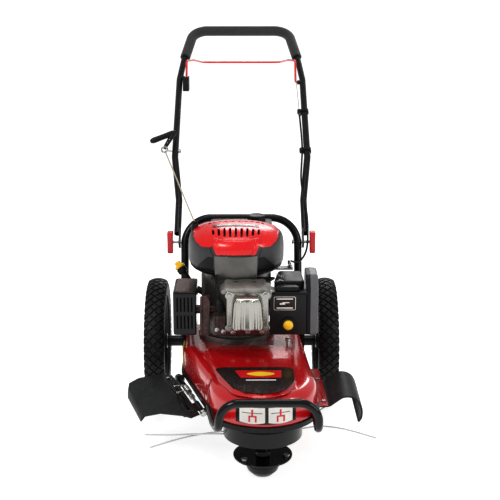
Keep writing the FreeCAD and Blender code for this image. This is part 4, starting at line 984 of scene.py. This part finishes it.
def engine_details():
    """Ribbed plug boot and lead, intake elbow, springs, sump cover, bolts and the heat shield."""
    x0 = -55.0
    centre = at(x0, -290, 384)
    profile = [(6, -30)]
    for step in range(5):
        profile += [(11.5 - 0.6 * step, -28 + 7 * step), (11.5 - 0.6 * step, -25 + 7 * step),
                    (8.4 - 0.4 * step, -24 + 7 * step), (8.4 - 0.4 * step, -22 + 7 * step)]
    profile += [(5, 10), (4, 14)]
    crisp(piece("plug_boot", *spun(profile, centre, (-0.12, -0.5, 0.85), 28), "chassis", "rubber",
                "rubber_sheet", stands_for=("spark_plug",)), 0.5)
    lead = curve_points([centre + Vector((-0.0015, -0.006, 0.012)), at(-58, -300, 410), at(-64, -284, 428),
                         at(-70, -236, 434), at(-80, -190, 432)])
    piece("plug_lead", *pipe(lead, 3.4, 14), "chassis", "rubber", "cable_black")
    base = at(x0 + 3, -276, 362)
    piece("plug_body", *spun([(8, -4), (8, 10), (5, 12), (4.5, 24)], base, (-0.12, -0.5, 0.85), 6), *STEEL,
          smooth=False)

    elbow = curve_points([at(40, -262, 400), at(62, -262, 404), at(80, -250, 398), at(92, -240, 380)])
    piece("intake_elbow", *pipe(elbow, 14, 24), *CAST)
    cap_profile = [(0, -4), (16, -4), (18, -2), (18, 4), (14, 8), (0, 9)]
    crisp(piece("intake_cap", *spun(cap_profile, at(58, -286, 404), (0, -1, 0.15), 36), *CAST), 1.0)
    loops = []
    for y, low, high, shrink in ((-299, 409, 416, 0.9), (-296, 407, 421, 0.97), (-284, 407, 427, 1.0),
                                 (-262, 407, 431, 1.0), (-244, 407, 433, 0.92)):
        loops.append([at(8 + dx * shrink, y, z) for dx, z in ((-60, low), (-62, high - 8), (-50, high - 1),
                      (-22, high - 3), (0, high), (26, high - 3), (50, high), (66, high - 7), (64, low))])
    points, faces = bridge(loops)
    crisp(piece("head_bridge", points, faces, *CAST), 3.0)
    duct = slab(rounded([(82, -236), (162, -236), (156, -160), (96, -160)], 12), 400, 430,
                lambda u, v, w: at(u, v, w + (v + 160) * 0.1))
    crisp(piece("air_duct", *duct, *PLASTIC), 5.0)
    shroud = slab(rounded([(-62, -262), (66, -262), (92, -214), (-84, -214)], 10), 425, 429,
                  at)
    crisp(piece("cylinder_baffle", *shroud, "chassis", "black_paint", "satin_black"), 1.6)

    sump = slab(rounded([(-62, -238), (-44, -252), (60, -252), (84, -228), (70, -190), (-70, -190)], 14),
                280, 302,
                at)
    crisp(piece("sump_front", *sump, *BROWN_CAST), 4.0)
    chest = slab(rounded([(-72, -300), (-38, -300), (-34, -262), (-72, -262)], 5), 298, 350,
                 at)
    crisp(piece("pushrod_chest", *chest, *BROWN_CAST), 3.0)
    for step in range(4):
        rib = block((-69 + 8.4 * step, -304, 326), (-66 + 8.4 * step, -298, 352))
        crisp(piece(f"chest_rib_{step}", *rib, *BROWN_CAST), 0.8)
    for step, (x, y, z) in enumerate(((-62, -302, 315), (-46, -302, 311), (76, -236, 292), (-22, -254, 292),
                                      (52, -254, 292), (16, -254, 292))):
        bolt = spun([(0, 0), (6.2, 0), (6.2, 3.6), (5.2, 4.4), (2, 4.8), (0, 4.8)], at(x, y + 2, z),
                    (0, -1, 0), 24)
        crisp(piece(f"case_bolt_{step}", *bolt, *STEEL), 0.4)
    ribs = []
    for step in range(19):
        azimuth = math.radians(80 + 11.5 * step)
        out = Vector((math.sin(azimuth), -math.cos(azimuth), 0))
        side = Vector((-out.y, out.x, 0))
        loops = []
        for z in (300, 304, 408, 414):
            reach = 88.5 if z in (300, 414) else 93.0
            loops.append([at(*CRANK, z) + (out * u + side * v) / 1000
                          for u, v in ((86, -2.4), (reach, -1.6), (reach, 1.6), (86, 2.4))])
        ribs.append(bridge(loops))
    piece("block_ribs", *merged(*ribs), *CAST, smooth=False)
    for step, azimuth in enumerate((95, 130, 165, 195, 230, 265)):
        out = Vector((math.sin(math.radians(azimuth)), -math.cos(math.radians(azimuth)), 0))
        bolt = spun([(0, 0), (6.6, 0), (6.6, 4), (5.4, 5), (0, 5.2)], at(*CRANK, 292) + out * 0.0872, out, 6)
        crisp(piece(f"block_bolt_{step}", *bolt, *STEEL, smooth=False), 0.5)
    shield = slab(rounded([(-106, 290), (-84, 286), (-80, 380), (-88, 396), (-104, 392)], 4), -268.5, -265.5,
                  upright)
    crisp(piece("heat_shield", *shield, *BROWN_STEEL), 0.8)
    fold = slab(rounded([(-107, 290), (-101, 290), (-99, 392), (-105, 392)], 2), -274, -262,
                upright)
    crisp(piece("heat_shield_fold", *fold, *BROWN_STEEL), 1.2)

    coil = []
    for k in range(161):
        a = math.tau * k / 16
        coil.append(at(88 + 46 * k / 160, -214, 436 - 22 * k / 160) + Vector((0, math.cos(a),
                                                                              math.sin(a))) * 0.0035)
    piece("governor_spring", *pipe(coil, 0.7, 6), *STEEL)
    rod = curve_points([at(84, -232, 420), at(100, -236, 426), at(112, -228, 418), at(120, -200, 412)])
    piece("governor_rod", *pipe(rod, 1.6, 10), *STEEL)
    stud = spun([(0, 0), (7, 0), (7, 8), (4, 10), (4, 26), (6.5, 27), (6.5, 34), (3, 36), (0, 36)],
                at(120, -240, 236), (0, 0, 1), 28)
    crisp(piece("drain_stud", *stud, *STEEL), 0.6)


def muffler_guard():
    """Louvres, a stepped brown cap and a rounded rim on the muffler's slotted guard."""
    case = rounded(rectangle(-176, -250, -116, -122), [9, 4, 4, 9], 5)
    loops = []
    for z, inset in ((282, 3), (284, 0.6), (288, 0), (392, 0), (396, 0.8), (397.6, 2.4), (398.6, 4.4)):
        middle = Vector((-146, -186))
        loops.append([at(middle.x + (p.x - middle.x) * (1 - inset / 33),
                         middle.y + (p.y - middle.y) * (1 - inset / 70), z)
                      for p in case])
    points, faces = bridge(loops)
    cover = piece("guard_case", points, faces, "chassis", "black_paint", "gloss_black",
                  stands_for=("muffler_guard",))
    cutters = []
    for z0, z1 in ((300, 336), (346, 384)):
        for step in range(5):
            x = -167 + 9.3 * step
            cutters.append(block((x, -256, z0), (x + 4.2, -240, z1)))
            y = -236 + 21 * step
            cutters.append(block((-182, y, z0), (-168, y + 10, z1)))
    carve(cover, block((-172.5, -246, 286), (-119.5, -126, 394)))
    carve(cover, merged(*cutters))
    crisp(cover, 0.8, 2, 35)
    for row, (z0, z1) in enumerate(((300, 336), (346, 384))):
        for step in range(5):
            x = -167 + 9.3 * step
            blade = [at(x + 0.4, -249.5, z0), at(x + 4.6, -243.5, z0), at(x + 5.4, -243.9, z0),
                     at(x + 1.2, -250.1, z0)]
            upper = [p + Vector((0, 0, (z1 - z0) / 1000)) for p in blade]
            piece(f"louvre_{row}_{step}", *bridge([blade, upper]), "chassis", "black_paint", "satin_black",
                  smooth=False)
    ledge = slab(rounded(rectangle(-170, -244, -122, -128), 8), 398, 399.4,
                 at)
    crisp(piece("guard_top", *ledge, *BROWN_STEEL), 1.0)


def air_filter():
    """The filter's outer pod with its grey rim, the label, and the primer's bezel and bulb."""
    side = rounded([(-262, 285), (-262, 412), (-236, 440), (-160, 440), (-150, 412), (-150, 285)],
                   [10, 22, 22, 14, 18, 10], 6)
    middle = Vector((-206, 360))

    def rings(stations):
        """The side outline at several (x, scale)."""
        return [[at(x, *(middle + (p - middle) * scale)) for p in side] for x, scale in stations]
    pod = bridge(rings(((165.2, 0.97), (167, 1.0), (184, 1.0), (190, 0.985), (194, 0.955), (196.4, 0.9))))
    crisp(piece("filter_pod", *pod, *PLASTIC, stands_for=("air_filter_cover",)), 1.0, 2, 40)
    rim = rings(((176, 1.004), (176, 1.016), (189, 1.004), (195, 0.975), (196.2, 0.93), (195, 0.93)))
    crisp(piece("filter_pod_rim", *bridge(rim, wrap=True), "chassis", "grey_plastic", "grey_plastic"), 0.6,
          2, 40)
    for step in range(3):
        rib = slab(rounded([(-258, 292 + 3 * step), (-254, 292), (-254, 408), (-258, 408)], 1.4),
                   168 + 8 * step, 170.6 + 8 * step, lambda u, v, w: at(w, u - 3.4, v))
        piece(f"pod_rib_{step}", *rib, *PLASTIC)
    lid = slab(rounded(rectangle(70, -270, 168, -238), 6), 397, 404, at)
    crisp(piece("filter_lid", *lid, *PLASTIC), 2.0)
    step_up = slab(rounded([(84, -264), (150, -264), (140, -236), (94, -236)], 6), 404, 416,
                   at)
    crisp(piece("filter_lid_step", *step_up, *PLASTIC), 3.0)
    front = -268.0
    frame_out = rounded(rectangle(82, 356, 138, 392), 4)
    crisp(piece("label_frame", *slab(frame_out, front - 0.6, front, upright), *LABEL), 0.2)
    inner = rounded(rectangle(83.4, 357.4, 136.6, 390.6), 3)
    piece("label_field", *slab(inner, front - 0.9, front - 0.3, upright), "chassis",
          "black_plastic", "sticker_black", smooth=False)
    for index, (x, z, w, h) in enumerate(((89, 384.5, 42, 3), (89, 360.5, 42, 3), (97, 371, 14, 4),
                                          (104, 375, 18, 2.4))):
        bar = rounded(rectangle(x, z, x + w, z + h), 1.0)
        piece(f"label_bar_{index}", *slab(bar, front - 1.2, front - 0.8, upright), *LABEL, smooth=False)
    bezel = [(14.6, 7.4), (18.4, 7.4), (19.4, 5), (19.4, 0), (13.6, 0), (13.6, 6)]
    crisp(piece("primer_bezel", *spun(bezel, at(119, front, 318), (0, -1, 0), 48), *PLASTIC), 0.5)
    bulb = [(0, 5.2), (12.8, 5.2), (12.9, 8.4), (12.2, 11.4), (10, 14.2), (6.4, 15.8), (0, 16.4)]
    crisp(piece("primer_dome", *spun(bulb, at(119, front, 318), (0, -1, 0), 48), "primer_bulb",
                "yellow_plastic", "yellow", stands_for=("primer_bulb",)), 0.6, 2, 60)


def caps():
    """The fuel cap's ribbed skirt and the yellow oil cap with its grip."""
    low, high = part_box("fuel_cap")
    centre = Vector(((low.x + high.x) / 2, (low.y + high.y) / 2, 0))
    base, top = low.z * 1000, high.z * 1000
    profile = [(19, base), (24.3, base), (24.6, base + 14), (23.4, top - 1.6), (20.5, top - 0.6),
               (18.5, top - 2),
               (0, top - 1.6)]
    crisp(piece("fuel_cap_body", *spun(profile, centre, steps=72), "fuel_cap", "black_plastic",
                "plastic_black",
                stands_for=("fuel_cap",)), 0.6, 2)
    ribs = []
    for step in range(30):
        a = math.tau * step / 30
        out = Vector((math.cos(a), math.sin(a), 0))
        side = Vector((-out.y, out.x, 0))
        corners = []
        for z in (base + 0.5, top - 4):
            for u, v in ((23.6, -1.3), (25.0, -0.8), (25.0, 0.8), (23.6, 1.3)):
                corners.append(centre + out * u / 1000 + side * v / 1000 + Vector((0, 0, z / 1000)))
        ribs.append((corners, BOX_SIDES))
    piece("fuel_cap_ribs", *merged(*ribs), "fuel_cap", "black_plastic", "plastic_black", smooth=False)

    axis = Vector((-0.56235, 0.24318, 0.79033))
    low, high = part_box("oil_cap")
    middle = (low + high) / 2
    start = middle - axis * 0.0095
    body = [(0, 0), (13.2, 0), (14, 1.2), (14, 6), (12.8, 7.6), (9, 8.6), (0, 9)]
    crisp(piece("oil_cap_body", *spun(body, start, axis, 40), "oil_cap", "yellow_plastic", "yellow",
                stands_for=("oil_cap",)), 0.6)
    across = axis.cross(Vector((0, 1, 0))).normalized()
    deep = axis.cross(across)
    grip = rounded([(-9, 7), (9, 7), (7.5, 19), (-7.5, 19)], 4)
    loops = [[start + across * p[0] / 1000 + axis * p[1] / 1000 + deep * w / 1000 for p in grip]
             for w in (-3.4, 3.4)]
    crisp(piece("oil_cap_grip", *bridge(loops), "oil_cap", "yellow_plastic", "yellow"), 1.4)
    collar = [(0, -16), (12, -16), (13.5, -12), (13.5, -2), (11, -0.6), (0, -0.6)]
    crisp(piece("oil_filler_collar", *spun(collar, start, axis, 40), *PLASTIC), 1.0)


valve_cover()
engine_details()
muffler_guard()
air_filter()
caps()


# ---------------------------------------------------------------- tyres
WHEEL_RADIUS, HALF_TRACK = 177.5, 235
LUG_COUNT = 46
SIDE_BLOCK = (150, 163)


def tyre(side, sign):
    """A tyre: a smooth carcass with rows of diamond lugs and shoulder blocks."""
    centre = at(sign * HALF_TRACK, 0, WHEEL_RADIUS)
    groove = 172.6

    def on_wheel(radius, shift, angle):
        """A point of the tyre, with its shift along the axle."""
        return centre + Vector((shift, radius * math.cos(angle), radius * math.sin(angle))) / 1000
    profile = [(128, -23), (130, -26), (140, -27.3), (151, -27.5), (160, -26), (166.5, -22.5), (170, -16),
               (172, -9), (groove, 0), (172, 9), (170, 16), (166.5, 22.5), (160, 26), (151, 27.5),
               (140, 27.3),
               (130, 26), (128, 23)]
    loops = []
    steps = 120
    for radius, shift in profile:
        loops.append([on_wheel(radius, shift, math.tau * k / steps) for k in range(steps)])
    shapes = [bridge(loops, wrap=True)]

    def lug(corners, low, high, shrink):
        """A block on the tread from four (angle, shift) corners."""
        mid_a = sum(c[0] for c in corners) / 4
        mid_s = sum(c[1] for c in corners) / 4
        rows = []
        for radius, k in ((low, 1.0), (high, shrink)):
            row = []
            for a, s in corners:
                angle = mid_a + (a - mid_a) * k
                shift = mid_s + (s - mid_s) * k
                row.append(on_wheel(radius - shift ** 2 * 0.011, shift, angle))
            rows.append(row)
        shapes.append(bridge(rows))
    pitch = math.tau / LUG_COUNT
    for step in range(LUG_COUNT):
        a = step * pitch
        for column, shift in ((0, -12.5), (1, 0.0), (2, 12.5)):
            middle = a + (pitch / 2 if column == 1 else 0)
            lug([(middle - pitch * 0.46, shift), (middle, shift - 11.2), (middle + pitch * 0.46, shift),
                 (middle, shift + 11.2)], groove - 2, WHEEL_RADIUS, 0.82)
        for edge in (-1, 1):
            middle = a + pitch / 2
            lug([(middle - pitch * 0.4, edge * 25.6), (middle - pitch * 0.06, edge * 14.6),
                 (middle + pitch * 0.06, edge * 14.6), (middle + pitch * 0.4, edge * 25.6)], groove - 5,
                 177.2, 0.86)
            low_r, high_r = SIDE_BLOCK
            rows = []
            for shift, k in ((25.6, 1.0), (27.45, 0.8)):
                row = [on_wheel(r, edge * shift, middle + da * pitch * k)
                       for da, r in ((-0.3, low_r), (0.3, low_r), (0.42, high_r), (-0.42, high_r))]
                rows.append(row if edge > 0 else row[::-1])
            shapes.append(bridge(rows))
    obj = piece(f"tyre_{side}_tread", *merged(*shapes), f"wheel_{side}", "tyre", "tyre_rubber",
                stands_for=(f"tyre_{side}",))
    modifier(obj, "BEVEL", width=0.0006, segments=1, limit_method="ANGLE", angle_limit=math.radians(35))
    modifier(obj, "WEIGHTED_NORMAL", keep_sharp=False)


tyre("left", -1)
tyre("right", 1)


# ---------------------------------------------------------------- guards, knobs, spring and starter
def right_guard():
    """The right rubber guard, curled down and in at its outer edge."""
    line = curve_points([Vector(p) for p in ((188, 152.5, 0), (214, 152.8, 0), (231, 163, 0), (250, 175.4, 0),
                                             (270, 176, 0), (287, 165.4, 0), (297, 143, 0), (297, 120, 0),
                                             (290, 107.5, 0))], 8)
    loops = []
    count = len(line)
    for row in range(13):
        v = row / 12
        y = -409.5 + 169 * v
        ring_out, ring_in = [], []
        for i, p in enumerate(line):
            way = (line[min(i + 1, count - 1)] - line[max(i - 1, 0)]).normalized()
            normal = Vector((-way.y, way.x, 0))
            wave = 1.2 * math.sin(3.1 * v + 2.4 * i / count) * min(1.0, i / 20)
            y_here = y + (1 - v) * (0 if i < count * 0.6 else 16 * ((i / count) - 0.6))
            ring_out.append(at(p.x + normal.x * 2.4, y_here, p.y + normal.y * 2.4 + wave * 0.4))
            ring_in.append(at(p.x - normal.x * 2.4, y_here, p.y - normal.y * 2.4 + wave * 0.4))
        loops.append(ring_out + ring_in[::-1])
    crisp(piece("right_guard_sheet", *bridge(loops), "chassis", "rubber", "rubber_sheet",
                stands_for=("right_guard",)), 0.8, 2, 50)


def knob(side, sign):
    """A red hand knob with a dished outer face."""
    y, z = 88.0, 442.0
    outline = rounded(rectangle(-15, -31, 15, 31), 7, 6)
    loops = []
    for x, scale in ((193.4, 0.9), (194.6, 1.0), (205.0, 1.0), (209.2, 0.97), (210.0, 0.9)):
        row = []
        for p in outline:
            bow = 2.2 * (1 - (p[1] / 31) ** 2)
            row.append(at(sign * (x - (bow if x > 200 else -bow * 0.4)), y + p[0] * scale, z + p[1] * scale))
        loops.append(row if sign > 0 else row[::-1])
    crisp(piece(f"knob_{side}_body", *bridge(loops), f"knob_{side}", "red_plastic", "knob_red",
                stands_for=(f"knob_{side}",)), 1.2, 3, 45)
    neck = [(4.2, 178.9), (8.8, 178.9), (9, 181), (7.4, 186), (9.6, 193.6), (4.2, 193.6)]
    shape = spun(neck, at(0, y, z), (sign, 0, 0), 40, hollow=True)
    crisp(piece(f"knob_{side}_neck", *shape, f"knob_{side}", "red_plastic", "knob_red"), 0.6)


HINGE_ALONG = Vector((73, -228, 0)).normalized()
HINGE_OUT = Vector((-228, -73, 0)).normalized()
HINGE_START = Vector((-159, -209, 150)) + HINGE_OUT * 8


def hinge_point(out, along, up):
    """A point in the flap's own frame, in millimetres."""
    p = HINGE_START + HINGE_OUT * out + HINGE_ALONG * along + Vector((0, 0, up))
    return at(p.x, p.y, p.z)


def spring():
    """The flap's torsion spring: a close coil on the hinge rod with two hooked legs."""
    line = []
    turns, radius = 13, 6.9
    for k in range(turns * 20 + 1):
        a = math.tau * k / 20 + math.pi / 2
        line.append(hinge_point(radius * math.cos(a), 70 + 38 * k / (turns * 20), radius * math.sin(a)))
    start_leg = [hinge_point(34, 62, 3.2), hinge_point(33, 66, 4.5), hinge_point(30, 69.5, 6.6),
                 hinge_point(16, 70, 7.2), hinge_point(4, 70, 7.0)]
    end_leg = [hinge_point(4, 108, 7.0), hinge_point(16, 108, 7.2), hinge_point(30, 108.5, 6.6),
               hinge_point(33, 112, 4.5), hinge_point(34, 117, 3.2)]
    piece("flap_spring", *pipe(start_leg + line[2:-2] + end_leg, 1.3, 10), *STEEL,
          stands_for=("torsion_spring",))
    nut = [(4.2, 0), (9.5, 0), (9.8, 1.5), (7, 4), (6.4, 7), (4.2, 7.4)]
    for name, along, way in (("front", 240.5, 1), ("rear", -2.0, -1)):
        shape = spun(nut, hinge_point(0, along, 0), HINGE_ALONG * way, 24)
        crisp(piece(f"hinge_cap_{name}", *shape, *STEEL), 0.4)
    collar = spun(rectangle(4.2, 0, 7.4, 9), hinge_point(0, 130, 0), HINGE_ALONG, 28)
    crisp(piece("hinge_collar", *collar, *STEEL), 0.6)


def starter():
    """The starter handle hung at its guide, and the taut rope down to the engine."""
    eye, begin = at(-233, 370, 658), at(-123, -97, 542)
    way = (eye - begin).normalized()
    rope_line = [begin + (eye - begin) * (k / 40) for k in range(40)]
    rope = blended("rope_taut", pipe(rope_line, 2.0, 12), "rope")
    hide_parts("starter_rope")
    eyelet = [(2.4, -4), (7, -4), (8.5, -1), (6, 3), (2.6, 4)]
    crisp(piece("rope_eyelet", *spun(eyelet, begin, way, 28), *PLASTIC), 0.6)

    boss = [(0, -22), (11, -22), (10, -12), (8, -3), (5.5, -1.2), (0, -1)]
    crisp(piece("rope_boss", *spun(boss, begin, (0, 0, 1), 28), *PLASTIC), 0.8)
    joint = eye + way * 0.006
    elbow, tail = at(-205, 392, 706), at(-276, 378, 681)
    stem = curve_points([joint, joint.lerp(elbow, 0.35), joint.lerp(elbow, 0.75), elbow], 6)
    taper = [0.62 + 0.38 * k / (len(stem) - 1) for k in range(len(stem))]
    piece("starter_stem", *pipe(stem, 8.8, 20, taper), "starter_handle", "black_plastic", "plastic_black",
          stands_for=("starter_handle",))
    back = elbow + (elbow - tail).normalized() * 0.007
    bar = [back.lerp(tail, k / 14) for k in range(15)]
    swell = [0.5, 0.86] + [1.0 - 0.06 * math.sin(math.pi * k / 10) for k in range(11)] + [0.86, 0.5]
    crisp(piece("starter_bar", *pipe(bar, 9.0, 24, swell), "starter_handle", "black_plastic",
                "plastic_black"),
          0.8, 2, 50)
    for k in range(3):
        spot = joint.lerp(elbow, 0.2 + 0.2 * k) + Vector((-0.001, -0.0072, 0))
        dot = spun([(0, -1), (1.6, -1), (1.6, 0.6), (0, 0.9)], spot, (0, -1, 0.2), 14)
        piece(f"starter_dot_{k}", *dot, "starter_handle", "steel", "zinc")


right_guard()
knob("left", -1)
knob("right", 1)
spring()
starter()
